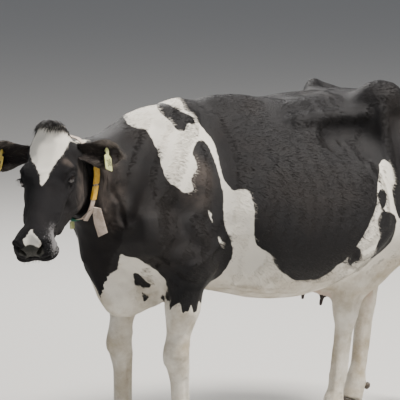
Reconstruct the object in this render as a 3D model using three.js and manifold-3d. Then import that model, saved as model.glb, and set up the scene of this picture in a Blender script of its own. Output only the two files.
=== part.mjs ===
// A dairy cow, standing still with its head turned to its left, at life size.
// Millimetres, +Z up. The cow faces -X and its left side faces -Y. The floor is Z = 0.
import * as THREE from "three";
import { mergeVertices } from "three/addons/utils/BufferGeometryUtils.js";
import Module from "manifold-3d";

const wasm = await Module();
wasm.setup();

// ---------------------------------------------------------------- driving sizes
const GAP = 0.4; // what a thin cut takes away between two neighbours
const WITHERS = 1430; // height at the withers
const HOOKS = 1460; // height at the hook bones
const HOOK_HALF_WIDTH = 262;
const PIN_HALF_WIDTH = 125;
const HIP = { left: { x: 20, z: 24 }, right: { x: -12, z: -4 } }; // the pelvis is carried higher on the left
const BELLY_HALF_WIDTH = 425;

const HEAD = {
  joint: new THREE.Vector3(-1042, -145, 1255), // where the skull meets the neck
  turn: 49.5, // degrees to the cow's left
  nod: 32.5, // degrees of the nose below level
  roll: 6.6, // degrees, the left side up
};
const EYE = { radius: 21, at: [160, 84, 26] }; // in the head's frame, one each side
const FOOT = { length: 135, width: 50, height: 78, cleft: 6 };

// ---------------------------------------------------------------- fields
// A field is a function of a point that is negative inside the flesh, near to a distance in mm.
const clamp01 = (t) => Math.min(1, Math.max(0, t));
const lerp = (a, b, t) => a + (b - a) * t;

function ball([cx, cy, cz], [rx, ry, rz]) {
  return (x, y, z) => {
    const px = (x - cx) / rx;
    const py = (y - cy) / ry;
    const pz = (z - cz) / rz;
    const near = Math.hypot(px, py, pz);
    return (near * (near - 1)) / Math.max(1e-6, Math.hypot(px / rx, py / ry, pz / rz));
  };
}

function bone([ax, ay, az], ra, [bx, by, bz], rb) {
  const dx = bx - ax;
  const dy = by - ay;
  const dz = bz - az;
  const length2 = dx * dx + dy * dy + dz * dz;
  return (x, y, z) => {
    const t = clamp01(((x - ax) * dx + (y - ay) * dy + (z - az) * dz) / length2);
    return Math.hypot(x - ax - dx * t, y - ay - dy * t, z - az - dz * t) - lerp(ra, rb, t);
  };
}

// A value along one axis, smooth between its stations.
function along(stations) {
  return (s) => {
    const last = stations.length - 1;
    if (s <= stations[0][0]) return stations[0][1];
    if (s >= stations[last][0]) return stations[last][1];
    const i = stations.findIndex((st) => st[0] > s) - 1;
    const at = (j) => stations[Math.min(last, Math.max(0, j))];
    const slope = (j) => (at(j + 1)[1] - at(j - 1)[1]) / Math.max(1, at(j + 1)[0] - at(j - 1)[0]);
    const span = at(i + 1)[0] - at(i)[0];
    const t = (s - at(i)[0]) / span;
    const rise = at(i + 1)[1] - at(i)[1];
    const a = slope(i) * span - rise;
    const b = -slope(i + 1) * span + rise;
    return at(i)[1] + rise * t + t * (1 - t) * (a * (1 - t) + b * t);
  };
}

const softMin = (a, b, k) => {
  const h = Math.max(0, k - Math.abs(a - b)) / k;
  return Math.min(a, b) - (h * h * k) / 4;
};

// Masses melt into each other over their own blend; a mass with a hollow takes flesh away.
function melt(masses) {
  return (x, y, z) => {
    let d = 1e4;
    for (const m of masses) {
      d = m.hollow ? -softMin(-d, m.field(x, y, z), m.blend) : softMin(d, m.field(x, y, z), m.blend);
    }
    return d;
  };
}
const mass = (field, blend) => ({ field, blend });
const hollow = (field, blend) => ({ field, blend, hollow: true });
const chain = (points, blend) =>
  points.slice(1).map((p, i) => mass(bone(points[i].at, points[i].r, p.at, p.r), blend));

// ---------------------------------------------------------------- trunk
// The barrel is a row of egg-shaped sections: top and bottom line, half width and where it is widest.
const BARREL = {
  top: along([
    [-870, 1160],
    [-790, 1240],
    [-700, 1322],
    [-600, 1385],
    [-500, 1408],
    [-410, WITHERS - 22],
    [-260, 1416],
    [-150, 1418],
    [-30, 1402],
    [120, 1412],
    [320, 1418],
    [480, 1406],
    [640, 1398],
    [760, 1368],
    [880, 1270],
  ]),
  bottom: along([
    [-870, 900],
    [-845, 800],
    [-790, 690],
    [-745, 622],
    [-690, 584],
    [-620, 590],
    [-540, 632],
    [-440, 664],
    [-320, 660],
    [-160, 622],
    [-20, 598],
    [90, 606],
    [200, 645],
    [330, 715],
    [450, 780],
    [700, 900],
    [880, 1050],
  ]),
  half: along([
    [-870, 40],
    [-820, 105],
    [-740, 160],
    [-640, 190],
    [-500, 228],
    [-350, 285],
    [-150, 362],
    [40, 412],
    [190, BELLY_HALF_WIDTH],
    [310, 392],
    [420, 318],
    [560, 262],
    [720, 215],
    [880, 120],
  ]),
  widest: along([
    [-870, 1040],
    [-640, 985],
    [-350, 950],
    [-100, 920],
    [120, 890],
    [300, 900],
    [450, 980],
    [640, 1060],
    [880, 1140],
  ]),
  crown: along([
    [-870, 1.9],
    [-520, 1.55],
    [-300, 1.6],
    [0, 1.75],
    [250, 1.8],
    [450, 1.9],
    [880, 2],
  ]),
  keel: along([
    [-870, 2],
    [-560, 1.8],
    [-300, 2],
    [100, 2.25],
    [400, 2.1],
    [880, 2],
  ]),
  front: -850,
  back: 885,
};

function barrel(x, y, z) {
  const s = Math.min(BARREL.back, Math.max(BARREL.front, x));
  const centre = BARREL.widest(s);
  const reach = z > centre ? BARREL.top(s) - centre : centre - BARREL.bottom(s);
  const power = z > centre ? BARREL.crown(s) : BARREL.keel(s);
  const side = Math.abs(y) / BARREL.half(s);
  const rise = Math.abs(z - centre) / reach;
  const ring = Math.max(1e-3, Math.pow(Math.pow(side, power) + Math.pow(rise, power), 1 / power));
  const radial = Math.hypot(y, z - centre) * (1 - 1 / ring);
  return Math.max(radial, Math.abs(x - s) > 0 ? Math.hypot(x - s, Math.max(0, radial)) : radial);
}

function trunkMasses(s) {
  const y = (v) => s * v;
  const hip = s < 0 ? HIP.left : HIP.right;
  const hook = (x, inwards, down) => [x + hip.x, y(HOOK_HALF_WIDTH - inwards), HOOKS + hip.z - down];
  return [
    // shoulder blade, point of the shoulder, upper arm and the muscle behind it
    mass(bone([-440, y(70), 1348], 46, [-600, y(172), 1090], 78), 90),
    mass(bone([-560, y(150), 1180], 70, [-690, y(185), 985], 82), 80),
    mass(ball([-700, y(188), 965], [72, 56, 80]), 70),
    mass(bone([-690, y(190), 960], 82, [-520, y(205), 830], 82), 80),
    mass(bone([-470, y(150), 1150], 80, [-478, y(205), 860], 78), 90),
    // neck root in front of the shoulder
    mass(bone([-640, y(60), 1230], 90, [-716, y(88), 930], 94), 110),
    // ribs spring out behind the shoulder
    mass(ball([-140, y(150), 960], [330, 190, 300]), 120),
    // loin, hook bone, rump and pin bone
    mass(ball([190, y(95), 1352], [250, 115, 52]), 50),
    mass(bone([430, y(120), 1335 + hip.z / 2], 88, hook(375, 72, 74), 66), 60),
    mass(bone(hook(325, 56, 60), 52, hook(405, 58, 62), 54), 40),
    mass(bone([440, y(135), 1325 + hip.z], 75, [800, y(92), 1290], 60), 80),
    mass(bone([800, y(PIN_HALF_WIDTH - 22), 1290], 52, [838, y(PIN_HALF_WIDTH - 12), 1268], 46), 45),
    mass(ball([600, y(190), 1150], [130, 78, 120]), 80),
    // edge from hook bone down to the stifle
    mass(bone([378 + hip.x, y(225), 1370 + hip.z], 36, [385, y(262), 900], 58), 50),
    // hollow of the flank
    hollow(ball([228, y(378), 1268], [135, 130, 92]), 70),
    // hollow before the shoulder, and behind the elbow
    hollow(ball([-330, y(330), 800], [90, 62, 120]), 60),
  ];
}

const MIDLINE = [
  // brisket and the keel of the chest
  mass(bone([-700, 0, 662], 72, [-590, 0, 668], 60), 60),
  mass(bone([-765, 0, 830], 70, [-715, 0, 690], 76), 70),
  // spine and tail head
  mass(bone([-420, 0, 1378], 46, [-120, 0, 1372], 44), 40),
  mass(bone([300, 0, 1378], 50, [740, 0, 1366], 42), 60),
];

// ---------------------------------------------------------------- neck
const neckEnd = (dx, dz) => [HEAD.joint.x + dx, HEAD.joint.y + 8, HEAD.joint.z + dz];
const NECK = [
  mass(bone([-470, 0, 1336], 74, [-780, -26, 1216], 64), 80),
  mass(bone([-780, -26, 1216], 64, neckEnd(25, 10), 58), 60),
  mass(bone([-600, 0, 1150], 165, [-860, -45, 1160], 118), 90),
  mass(bone([-850, -45, 1160], 108, neckEnd(32, -70), 76), 80),
  mass(bone([-720, -5, 960], 100, neckEnd(92, -182), 44), 80),
  // dewlap
  mass(bone([-800, -8, 850], 44, [-900, -45, 985], 22), 40),
];

// ---------------------------------------------------------------- head
// The head's frame: x runs to the nose, y to the cow's left, z out of the forehead.
const headFrame = new THREE.Matrix4();
{
  const d = THREE.MathUtils.degToRad;
  const ahead = new THREE.Vector3(-Math.cos(d(HEAD.turn)), -Math.sin(d(HEAD.turn)), 0);
  const nose = ahead.clone().multiplyScalar(Math.cos(d(HEAD.nod))).setZ(-Math.sin(d(HEAD.nod)));
  const brow = ahead.clone().multiplyScalar(Math.sin(d(HEAD.nod))).setZ(Math.cos(d(HEAD.nod)));
  brow.applyAxisAngle(nose, d(HEAD.roll));
  const left = brow.clone().cross(nose);
  headFrame.makeBasis(nose, left, brow).setPosition(HEAD.joint);
}
const toHead = headFrame.clone().invert().elements;
const onHead = (x, y, z) => new THREE.Vector3(x, y, z).applyMatrix4(headFrame);

function headMasses(s) {
  const y = (v) => s * v;
  return [
    mass(ball([140, y(78), 35], [50, 35, 33]), 34), // rim of the eye
    mass(ball([118, y(60), -66], [92, 36, 84]), 40), // cheek
    mass(bone([92, y(58), -122], 32, [420, y(24), -62], 24), 36), // jaw
    mass(bone([215, y(58), 0], 24, [335, y(46), -20], 22), 30), // cheek bone's ridge
    mass(ball([482, y(42), 0], [34, 32, 32]), 24), // wing of the nostril
    mass(bone([24, y(62), 40], 32, [14, y(92), 34], 27), 26), // root of the ear
    hollow(ball([EYE.at[0] + 12, y(EYE.at[1] + 18), EYE.at[2] + 3], [24, 17, 17]), 10),
    hollow(ball([518, y(34), -4], [14, 11, 12]), 10), // nostril
  ];
}

const headField = melt([
  mass(ball([60, 0, 22], [104, 84, 78]), 40), // cranium
  mass(ball([108, 0, 42], [118, 94, 44]), 40), // forehead
  mass(bone([170, 0, 0], 74, [420, 0, -16], 48), 50), // face
  mass(bone([200, 0, 52], 28, [440, 0, 24], 26), 40), // bridge of the nose
  mass(ball([458, 30, -14], [58, 42, 54]), 30), // muzzle, one half and the other
  mass(ball([458, -30, -14], [58, 42, 54]), 30),
  mass(ball([457, 41, -61], [46, 43, 33]), 30), // lower lip and chin
  mass(ball([457, -41, -61], [46, 43, 33]), 30),
  mass(ball([18, 0, 78], [56, 78, 44]), 40), // top of the head
  mass(ball([-26, 0, 106], [42, 62, 58]), 40), // poll and its tuft
  mass(bone([30, 0, -40], 76, [-20, 0, -50], 74), 50), // throat
  ...headMasses(1),
  ...headMasses(-1),
]);

function head(x, y, z) {
  const e = toHead;
  return headField(
    e[0] * x + e[4] * y + e[8] * z + e[12],
    e[1] * x + e[5] * y + e[9] * z + e[13],
    e[2] * x + e[6] * y + e[10] * z + e[14],
  );
}

// ---------------------------------------------------------------- legs
const FORE = {
  left: { side: -1, foot: 166, knee: [-528, 442], fetlock: [-512, 152] },
  right: { side: 1, foot: 158, knee: [-604, 442], fetlock: [-600, 152] },
};
const HIND = {
  left: { side: -1, foot: 142, stifle: [362, 850], calf: [548, 805], hock: [272, 530], fetlock: [236, 155] },
  right: { side: 1, foot: 150, stifle: [462, 850], calf: [700, 815], hock: [578, 528], fetlock: [550, 155] },
};

function foreleg({ side, foot, knee, fetlock }) {
  const y = (v) => side * v;
  const [kx, kz] = knee;
  const [fx, fz] = fetlock;
  const fold = [lerp(-505, kx, 0.55), y(186), 630];
  return [
    mass(bone([-505, y(205), 800], 84, fold, 62), 60),
    mass(bone(fold, 62, [kx + 2, y(foot + 2), kz + 70], 50), 50),
    mass(bone([-455, y(206), 800], 48, [-440, y(206), 840], 44), 50), // point of the elbow
    mass(ball([kx - 6, y(foot), kz], [56, 55, 78]), 26),
    mass(bone([kx + 2, y(foot), kz - 55], 37, [fx - 4, y(foot - 2), fz + 30], 33), 26),
    mass(bone([kx + 28, y(foot), kz - 15], 27, [fx + 24, y(foot - 2), fz + 26], 25), 22),
    ...footMasses(fx, y(foot - 2), fz),
  ];
}

function hindleg({ side, foot, stifle, calf, hock, fetlock }) {
  const y = (v) => side * v;
  const [sx, sz] = stifle;
  const [cx, cz] = calf;
  const [hx, hz] = hock;
  const [fx, fz] = fetlock;
  const shin = [lerp(sx, hx, 0.55), y(lerp(228, foot, 0.6)), lerp(sz, hz, 0.55)];
  const point = [hx + 70, y(foot + 6), hz + 56]; // point of the hock
  const tendon = [lerp(cx, point[0], 0.55), y(lerp(196, foot, 0.6)), lerp(cz, point[2], 0.55)];
  const heart = [lerp(shin[0], tendon[0], 0.5), y(lerp(210, foot, 0.6)), shin[2] - 6];
  return [
    // thigh: front, side and back
    mass(bone([520, y(185), 1180], 95, [sx + 40, y(222), sz + 40], 98), 90),
    mass(bone([650, y(160), 1180], 105, [lerp(sx, cx, 0.5), y(205), sz + 10], 100), 90),
    mass(bone([775, y(112), 1200], 78, [cx + 20, y(182), cz + 40], 70), 80),
    mass(ball([sx - 4, y(240), sz - 10], [70, 58, 84]), 60),
    // lower thigh
    mass(bone([sx + 24, y(228), sz - 20], 82, shin, 62), 50),
    mass(bone(shin, 62, [hx - 4, y(foot + 4), hz + 45], 44), 44),
    mass(bone([cx, y(196), cz], 72, tendon, 40), 60),
    mass(bone(tendon, 40, point, 22), 40),
    mass(bone([lerp(sx, cx, 0.5), y(206), sz - 50], 70, heart, 44), 60),
    // hock
    mass(ball([hx + 2, y(foot + 2), hz], [50, 46, 64]), 30),
    mass(bone(point, 27, [hx + 40, y(foot), hz - 50], 30), 26),
    // cannon and the tendon behind it
    mass(bone([hx + 6, y(foot), hz - 50], 36, [fx - 2, y(foot - 2), fz + 30], 32), 26),
    mass(bone([hx + 38, y(foot), hz - 50], 27, [fx + 26, y(foot - 2), fz + 26], 25), 22),
    ...footMasses(fx, y(foot - 2), fz),
  ];
}

function footMasses(x, y, z) {
  return [
    mass(ball([x + 2, y, z - 4], [44, 45, 42]), 24),
    mass(bone([x - 2, y, z - 14], 39, [x - 44, y, 34], 50), 24),
    mass(bone([x + 2, y - 22, 62], 30, [x + 2, y + 22, 62], 30), 20), // bulbs of the heels
  ];
}

// ---------------------------------------------------------------- udder and tail
const TEATS = [
  { name: "teat_front_left", at: [212, -70] },
  { name: "teat_front_right", at: [216, 66] },
  { name: "teat_back_left", at: [352, -52] },
  { name: "teat_back_right", at: [356, 50] },
];
const TEAT = { top: 596, length: 66, root: 17, tip: 12, splay: 1.06 };
const UDDER = [
  mass(ball([252, -50, 664], [125, 78, 84]), 40),
  mass(ball([252, 50, 664], [125, 78, 84]), 40),
  mass(ball([390, -46, 682], [130, 76, 108]), 40),
  mass(ball([390, 46, 682], [130, 76, 108]), 40),
  mass(bone([450, 0, 720], 98, [590, 0, 860], 76), 60),
  ...TEATS.map(({ at: [x, y] }) => {
    const tip = [x, y * TEAT.splay, TEAT.top - TEAT.length + TEAT.tip];
    return mass(bone([x, y, TEAT.top + 20], TEAT.root, tip, TEAT.tip), 14);
  }),
];

const TAIL = chain(
  [
    { at: [720, 0, 1388], r: 48 },
    { at: [828, 0, 1384], r: 38 },
    { at: [902, 0, 1322], r: 31 },
    { at: [922, 4, 1180], r: 26 },
    { at: [922, 8, 940], r: 21 },
    { at: [918, 10, 720], r: 18 },
  ],
  26,
);
const SWITCH = chain(
  [
    { at: [918, 10, 760], r: 16 },
    { at: [919, 11, 640], r: 34 },
    { at: [922, 13, 500], r: 46 },
    { at: [926, 15, 400], r: 30 },
    { at: [930, 17, 330], r: 6 },
  ],
  30,
);

const flesh = melt([
  mass(barrel, 60),
  ...MIDLINE,
  ...trunkMasses(1),
  ...trunkMasses(-1),
  ...foreleg(FORE.left),
  ...foreleg(FORE.right),
  ...hindleg(HIND.left),
  ...hindleg(HIND.right),
  ...UDDER,
  ...NECK,
  mass(head, 45),
]);
const tailField = melt([...TAIL, ...SWITCH]);

// ---------------------------------------------------------------- meshes from fields
// One vertex in each grid cell that the surface crosses, drawn onto the surface; one face for each
// grid edge that it crosses. The rim of the box counts as outside, so that the mesh is closed.
function meshOf(field, low, high, cell) {
  const n = [0, 1, 2].map((a) => Math.ceil((high[a] - low[a]) / cell[a]) + 1);
  const step = [n[1] * n[2], n[2], 1];
  const value = new Float64Array(n[0] * n[1] * n[2]);
  const eachPoint = (top, visit) => {
    for (let i = 0; i < n[0] - top; i++)
      for (let j = 0; j < n[1] - top; j++)
        for (let k = 0; k < n[2] - top; k++) visit([i, j, k], i * step[0] + j * step[1] + k);
  };
  const rim = new Uint8Array(value.length);
  eachPoint(0, (at, id) => {
    rim[id] = at.some((v, a) => v === 0 || v === n[a] - 1) ? 1 : 0;
    value[id] = field(...at.map((v, a) => low[a] + v * cell[a]));
    if (rim[id]) value[id] = Math.max(value[id], 1);
  });
  // Where inside and outside corners alternate round a grid square, two sheets would share an edge,
  // so one more corner is filled, or an inside one is emptied beside the rim.
  for (let changed = true; changed; ) {
    changed = false;
    eachPoint(1, (at, id) => {
      for (let axis = 0; axis < 3; axis++) {
        const [u, v] = [step[(axis + 1) % 3], step[(axis + 2) % 3]];
        const square = [id, id + u, id + u + v, id + v];
        const inside = square.map((c) => value[c] < 0);
        if (inside[0] !== inside[2] || inside[1] !== inside[3] || inside[0] === inside[1]) continue;
        const fill = square.find((c, i) => !inside[i] && !rim[c]);
        if (fill !== undefined) value[fill] = -0.1;
        else value[square[inside[0] ? 0 : 1]] = 1;
        changed = true;
      }
    });
  }

  const vertexOf = new Int32Array(value.length).fill(-1);
  const vertices = [];
  const free = [];
  eachPoint(1, (at, id) => {
    const sum = [0, 0, 0];
    let crossings = 0;
    for (let corner = 0; corner < 8; corner++) {
      for (let axis = 0; axis < 3; axis++) {
        if ((corner >> axis) & 1) continue;
        const offset = [corner & 1, (corner >> 1) & 1, (corner >> 2) & 1];
        const from = id + offset[0] * step[0] + offset[1] * step[1] + offset[2] * step[2];
        const a = value[from];
        const b = value[from + step[axis]];
        if (a < 0 === b < 0) continue;
        offset[axis] += a / (a - b);
        offset.forEach((v, i) => (sum[i] += v));
        crossings++;
      }
    }
    if (!crossings) return;
    const point = sum.map((v, a) => low[a] + (at[a] + v / crossings) * cell[a]);
    const inner = at.every((v, a) => v > 0 && v < n[a] - 2);
    vertexOf[id] = vertices.length / 3;
    free.push(inner);
    vertices.push(...(inner ? ontoSurface(field, point, Math.min(...cell)) : point));
  });

  const triangles = [];
  const beside = free.map(() => new Set());
  eachPoint(1, (at, id) => {
    for (let axis = 0; axis < 3; axis++) {
      const u = (axis + 1) % 3;
      const v = (axis + 2) % 3;
      if (at[u] === 0 || at[v] === 0) continue;
      const a = value[id];
      const b = value[id + step[axis]];
      if (a < 0 === b < 0) continue;
      const ring = [id - step[u] - step[v], id - step[v], id, id - step[u]].map((c) => vertexOf[c]);
      if (a >= 0) ring.reverse();
      ring.forEach((c, i) => beside[c].add(ring[(i + 1) % 4]).add(ring[(i + 3) % 4]));
      const apart = (p, q) => Math.hypot(...[0, 1, 2].map((c) => vertices[3 * p + c] - vertices[3 * q + c]));
      const turn = apart(ring[0], ring[2]) <= apart(ring[1], ring[3]) ? 0 : 1;
      const [p, q, r, s] = [0, 1, 2, 3].map((i) => ring[(i + turn) % 4]);
      triangles.push(p, q, r, p, r, s);
    }
  });
  for (let pass = 0; pass < 3; pass++) relax(field, vertices, beside, free, Math.min(...cell));
  return solidFrom(vertices, triangles);
}

// Draws each free vertex half-way to the middle of its neighbours and back onto the surface.
function relax(field, vertices, beside, free, reach) {
  const old = vertices.slice();
  beside.forEach((near, v) => {
    if (!free[v]) return;
    const point = [0, 1, 2].map((a) => {
      let sum = 0;
      for (const n of near) sum += old[3 * n + a];
      return (old[3 * v + a] + sum / near.size) / 2;
    });
    ontoSurface(field, point, reach).forEach((c, a) => (vertices[3 * v + a] = c));
  });
}

function ontoSurface(field, point, reach) {
  const p = [...point];
  const e = 0.5;
  for (let pass = 0; pass < 3; pass++) {
    const d = field(...p);
    const slope = [0, 1, 2].map((a) => {
      const q = [...p];
      q[a] += e;
      return (field(...q) - d) / e;
    });
    const size2 = Math.max(0.05, slope[0] ** 2 + slope[1] ** 2 + slope[2] ** 2);
    for (let a = 0; a < 3; a++) p[a] -= (slope[a] * d) / size2;
  }
  const moved = Math.hypot(p[0] - point[0], p[1] - point[1], p[2] - point[2]);
  return moved < reach * 0.6 ? p : point;
}

function solidFrom(vertices, triangles) {
  const mesh = new wasm.Mesh({
    numProp: 3,
    vertProperties: new Float32Array(vertices),
    triVerts: new Uint32Array(triangles),
  });
  return new wasm.Manifold(mesh);
}

// A solid from a three.js geometry, whose vertices are merged first.
function solidOf(geometry) {
  geometry.deleteAttribute("normal");
  geometry.deleteAttribute("uv");
  const merged = mergeVertices(geometry, 1e-3);
  return solidFrom(merged.attributes.position.array, merged.index.array);
}

function geometryOf(solid) {
  const mesh = solid.getMesh();
  return new THREE.BufferGeometry()
    .setAttribute("position", new THREE.BufferAttribute(mesh.vertProperties, 3))
    .setIndex(new THREE.BufferAttribute(mesh.triVerts, 1));
}

// The same solid with every vertex moved out along its normal: the space that the solid takes up.
function swollen(solid, by) {
  const geometry = geometryOf(solid);
  geometry.computeVertexNormals();
  const { position, normal } = geometry.attributes;
  for (let i = 0; i < position.count; i++) {
    position.setXYZ(
      i,
      position.getX(i) + by * normal.getX(i),
      position.getY(i) + by * normal.getY(i),
      position.getZ(i) + by * normal.getZ(i),
    );
  }
  return solidFrom(position.array, geometry.index.array);
}

// Rings of points of one count, joined into a closed body; open ends are capped by fans.
function loft(rings, { closed = false } = {}) {
  const count = rings[0].length;
  const vertices = rings.flat().flatMap((p) => [p.x, p.y, p.z]);
  const triangles = [];
  const last = closed ? rings.length : rings.length - 1;
  for (let r = 0; r < last; r++) {
    for (let i = 0; i < count; i++) {
      const a = r * count + i;
      const b = r * count + ((i + 1) % count);
      const c = ((r + 1) % rings.length) * count + i;
      const d = ((r + 1) % rings.length) * count + ((i + 1) % count);
      triangles.push(a, b, d, a, d, c);
    }
  }
  if (!closed) {
    const caps = [
      [0, true],
      [rings.length - 1, false],
    ];
    for (const [r, start] of caps) {
      const centre = rings[r].reduce((sum, p) => sum.add(p), new THREE.Vector3()).divideScalar(count);
      const hub = vertices.length / 3;
      vertices.push(centre.x, centre.y, centre.z);
      for (let i = 0; i < count; i++) {
        const a = r * count + i;
        const b = r * count + ((i + 1) % count);
        triangles.push(...(start ? [hub, b, a] : [hub, a, b]));
      }
    }
  }
  const solid = solidFrom(vertices, triangles);
  return solid.volume() > 0 ? solid : solidFrom(vertices, triangles.reverse());
}

// Points of a flat outline from a run of x and y values.
function shapePoints(values) {
  const points = [];
  for (let i = 0; i < values.length; i += 2) points.push(new THREE.Vector2(values[i], values[i + 1]));
  return points;
}

// ---------------------------------------------------------------- cutting
function block(low, high) {
  const size = high.map((v, a) => v - low[a]);
  const geometry = new THREE.BoxGeometry(...size);
  geometry.translate(...low.map((v, a) => v + size[a] / 2));
  return solidOf(geometry);
}
const plane = (point, normal) => {
  const n = new THREE.Vector3(...normal).normalize();
  return { n, offset: n.dot(new THREE.Vector3(...point)) };
};
// Keeps what lies on the side that the plane's normal points to, less half a thin cut.
const ahead = (solid, { n, offset }) => solid.trimByPlane(n.toArray(), offset + GAP / 2);
const behind = (solid, { n, offset }) => solid.trimByPlane(n.clone().negate().toArray(), -offset + GAP / 2);

const CUTS = {
  neck: plane([-700, 0, 1130], [-0.9, 0, 0.43]),
  head: plane(onHead(-36, 0, 0).toArray(), onHead(0.9, 0, 0.44).sub(onHead(0, 0, 0)).toArray()),
  udder: plane([330, 0, 700], [0.45, 0, -0.89]),
  tailRoot: plane([812, 0, 1385], [1, 0, 0]),
  tailMiddle: plane([921, 5, 1090], [0, 0, -1]),
  tailSwitch: plane([918, 10, 742], [0, 0, -1]),
};

// The space of one leg: it lies outside the groin or armpit, under a slope that rises outward, and
// behind a front that leans.
function legSpace(side, grow, { low, high, inner, rise, front }) {
  const y = [inner - grow, 430].map((v) => side * v).sort((a, b) => a - b);
  const space = block([low[0] - grow, y[0], low[1]], [high[0] + grow, y[1], high[1]]);
  const roof = new THREE.Vector3(0, side * rise.lean, -1).normalize();
  const roofAt = roof.dot(new THREE.Vector3(0, side * rise.at[0], rise.at[1])) - grow;
  const face = new THREE.Vector3(1, 0, front.lean).normalize();
  const faceAt = face.dot(new THREE.Vector3(front.at[0], 0, front.at[1])) - grow;
  return space.trimByPlane(roof.toArray(), roofAt).trimByPlane(face.toArray(), faceAt);
}
const foreSpace = (side, grow) =>
  legSpace(side, grow, {
    low: [-760, -40],
    high: [-330, 1000],
    inner: 104,
    rise: { at: [160, 742], lean: 0.62 },
    front: { at: [-760, 700], lean: 0 },
  });
const hindSpace = (side, grow) => {
  const back = side < 0 ? 0 : 100;
  return legSpace(side, grow, {
    low: [40 + back, -40],
    high: [840, 1100],
    inner: 92,
    rise: { at: [160, 800], lean: 0.5 },
    front: { at: [310 + back, 800], lean: -0.52 },
  });
};

// ---------------------------------------------------------------- nodes
const cow = new THREE.Group();
const colours = {
  coat: { color: 0x2b2628, roughness: 0.7 },
  udder: { color: 0xb79a86, roughness: 0.7 },
  horn: { color: 0x3a332c, roughness: 0.45 },
  eye: { color: 0x0d0a09, roughness: 0.08 },
  strap: { color: 0xb8a88c, roughness: 0.85 },
  yellow: { color: 0xe0a81c, roughness: 0.5 },
  green: { color: 0x0c6b4c, roughness: 0.5 },
  pale: { color: 0xb7b45e, roughness: 0.5 },
};
function add(name, finish, solid) {
  const material = new THREE.MeshStandardMaterial({ metalness: 0, ...colours[finish] });
  const node = new THREE.Mesh(geometryOf(solid), material);
  node.name = name;
  cow.add(node);
}

// trunk
const CELL = {
  trunk: [98, 90, 90],
  neck: [64, 62, 64],
  head: [34, 34, 35],
  foreleg: [40, 36, 65],
  hindleg: [45, 42, 67],
  udder: [56, 50, 48],
  tail: [28, 26, 58],
  teat: [13, 13, 15],
};
let trunk = meshOf(flesh, [-1010, -520, 430], [1000, 520, 1560], CELL.trunk);
trunk = behind(trunk, CUTS.neck);
for (const side of [-1, 1]) {
  trunk = trunk.subtract(foreSpace(side, GAP / 2)).subtract(hindSpace(side, GAP / 2));
}
const udderSpace = (grow) => {
  const box = block([110 - grow, -92 + GAP, 400], [700 + grow, 92 - GAP, 900]);
  const { n, offset } = CUTS.udder;
  return box.trimByPlane(n.toArray(), offset - grow);
};
trunk = trunk.subtract(udderSpace(GAP / 2));
// The tail's root sits in a pocket of the rump.
const hanging = ahead(meshOf(tailField, [740, -100, 280], [1030, 120, 1480], CELL.tail), CUTS.tailRoot);
trunk = trunk.subtract(swollen(hanging, 1));
const largest = (solid) => solid.decompose().sort((a, b) => b.volume() - a.volume())[0];
add("trunk", "coat", largest(trunk));

// neck and head
let neck = meshOf(flesh, [-1240, -420, 620], [-480, 300, 1500], CELL.neck);
neck = behind(ahead(neck, CUTS.neck), CUTS.head);
let skull = meshOf(flesh, [-1520, -560, 760], [-900, 220, 1560], CELL.head);
skull = ahead(skull, CUTS.head);

const eyes = [
  ["eye_left", 1],
  ["eye_right", -1],
].map(([name, side]) => {
  const centre = onHead(EYE.at[0], side * EYE.at[1], EYE.at[2]);
  const sphere = (r) => solidOf(new THREE.SphereGeometry(r, 10, 8).translate(...centre));
  return { name, globe: sphere(EYE.radius), socket: sphere(EYE.radius + 1) };
});
for (const eye of eyes) {
  add(eye.name, "eye", eye.globe);
  skull = skull.subtract(eye.socket);
}

// legs and feet
function claw(toeX, y, inward) {
  const heelX = toeX + FOOT.length;
  const edge = [toeX, 0, toeX + 52, FOOT.height, heelX - 6, 48, heelX, 26, heelX - 4, 0];
  const side = new THREE.Shape(shapePoints(edge));
  const depth = 120; // of both blanks, more than the claw needs
  const sideBlank = new THREE.ExtrudeGeometry(side, { depth, bevelEnabled: false }).rotateX(Math.PI / 2);
  const wall = solidOf(sideBlank.translate(0, y + depth / 2, 0));
  const half = FOOT.width / 2;
  const plan = new THREE.Shape();
  plan.moveTo(toeX - 2, inward * half * 0.7);
  plan.quadraticCurveTo(toeX + 14, -inward * half * 0.75, toeX + 70, -inward * half);
  plan.quadraticCurveTo(heelX + 14, -inward * half, heelX, 0);
  plan.quadraticCurveTo(heelX + 2, inward * half, heelX - 40, inward * half);
  plan.lineTo(toeX + 30, inward * half);
  const planBlank = new THREE.ExtrudeGeometry(plan, { depth, bevelEnabled: false, curveSegments: 3 });
  return wall.intersect(solidOf(planBlank.translate(0, y, -10)));
}
const coronet = (toeX) => plane([toeX + 90, 0, 62], [0.36, 0, 1]);

function dewclaw(x, y, z, grow) {
  const peg = new THREE.SphereGeometry(1, 6, 4);
  peg.scale(15 + grow, 13 + grow, 19 + grow).rotateY(0.5).translate(x, y, z);
  return solidOf(peg);
}

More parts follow.
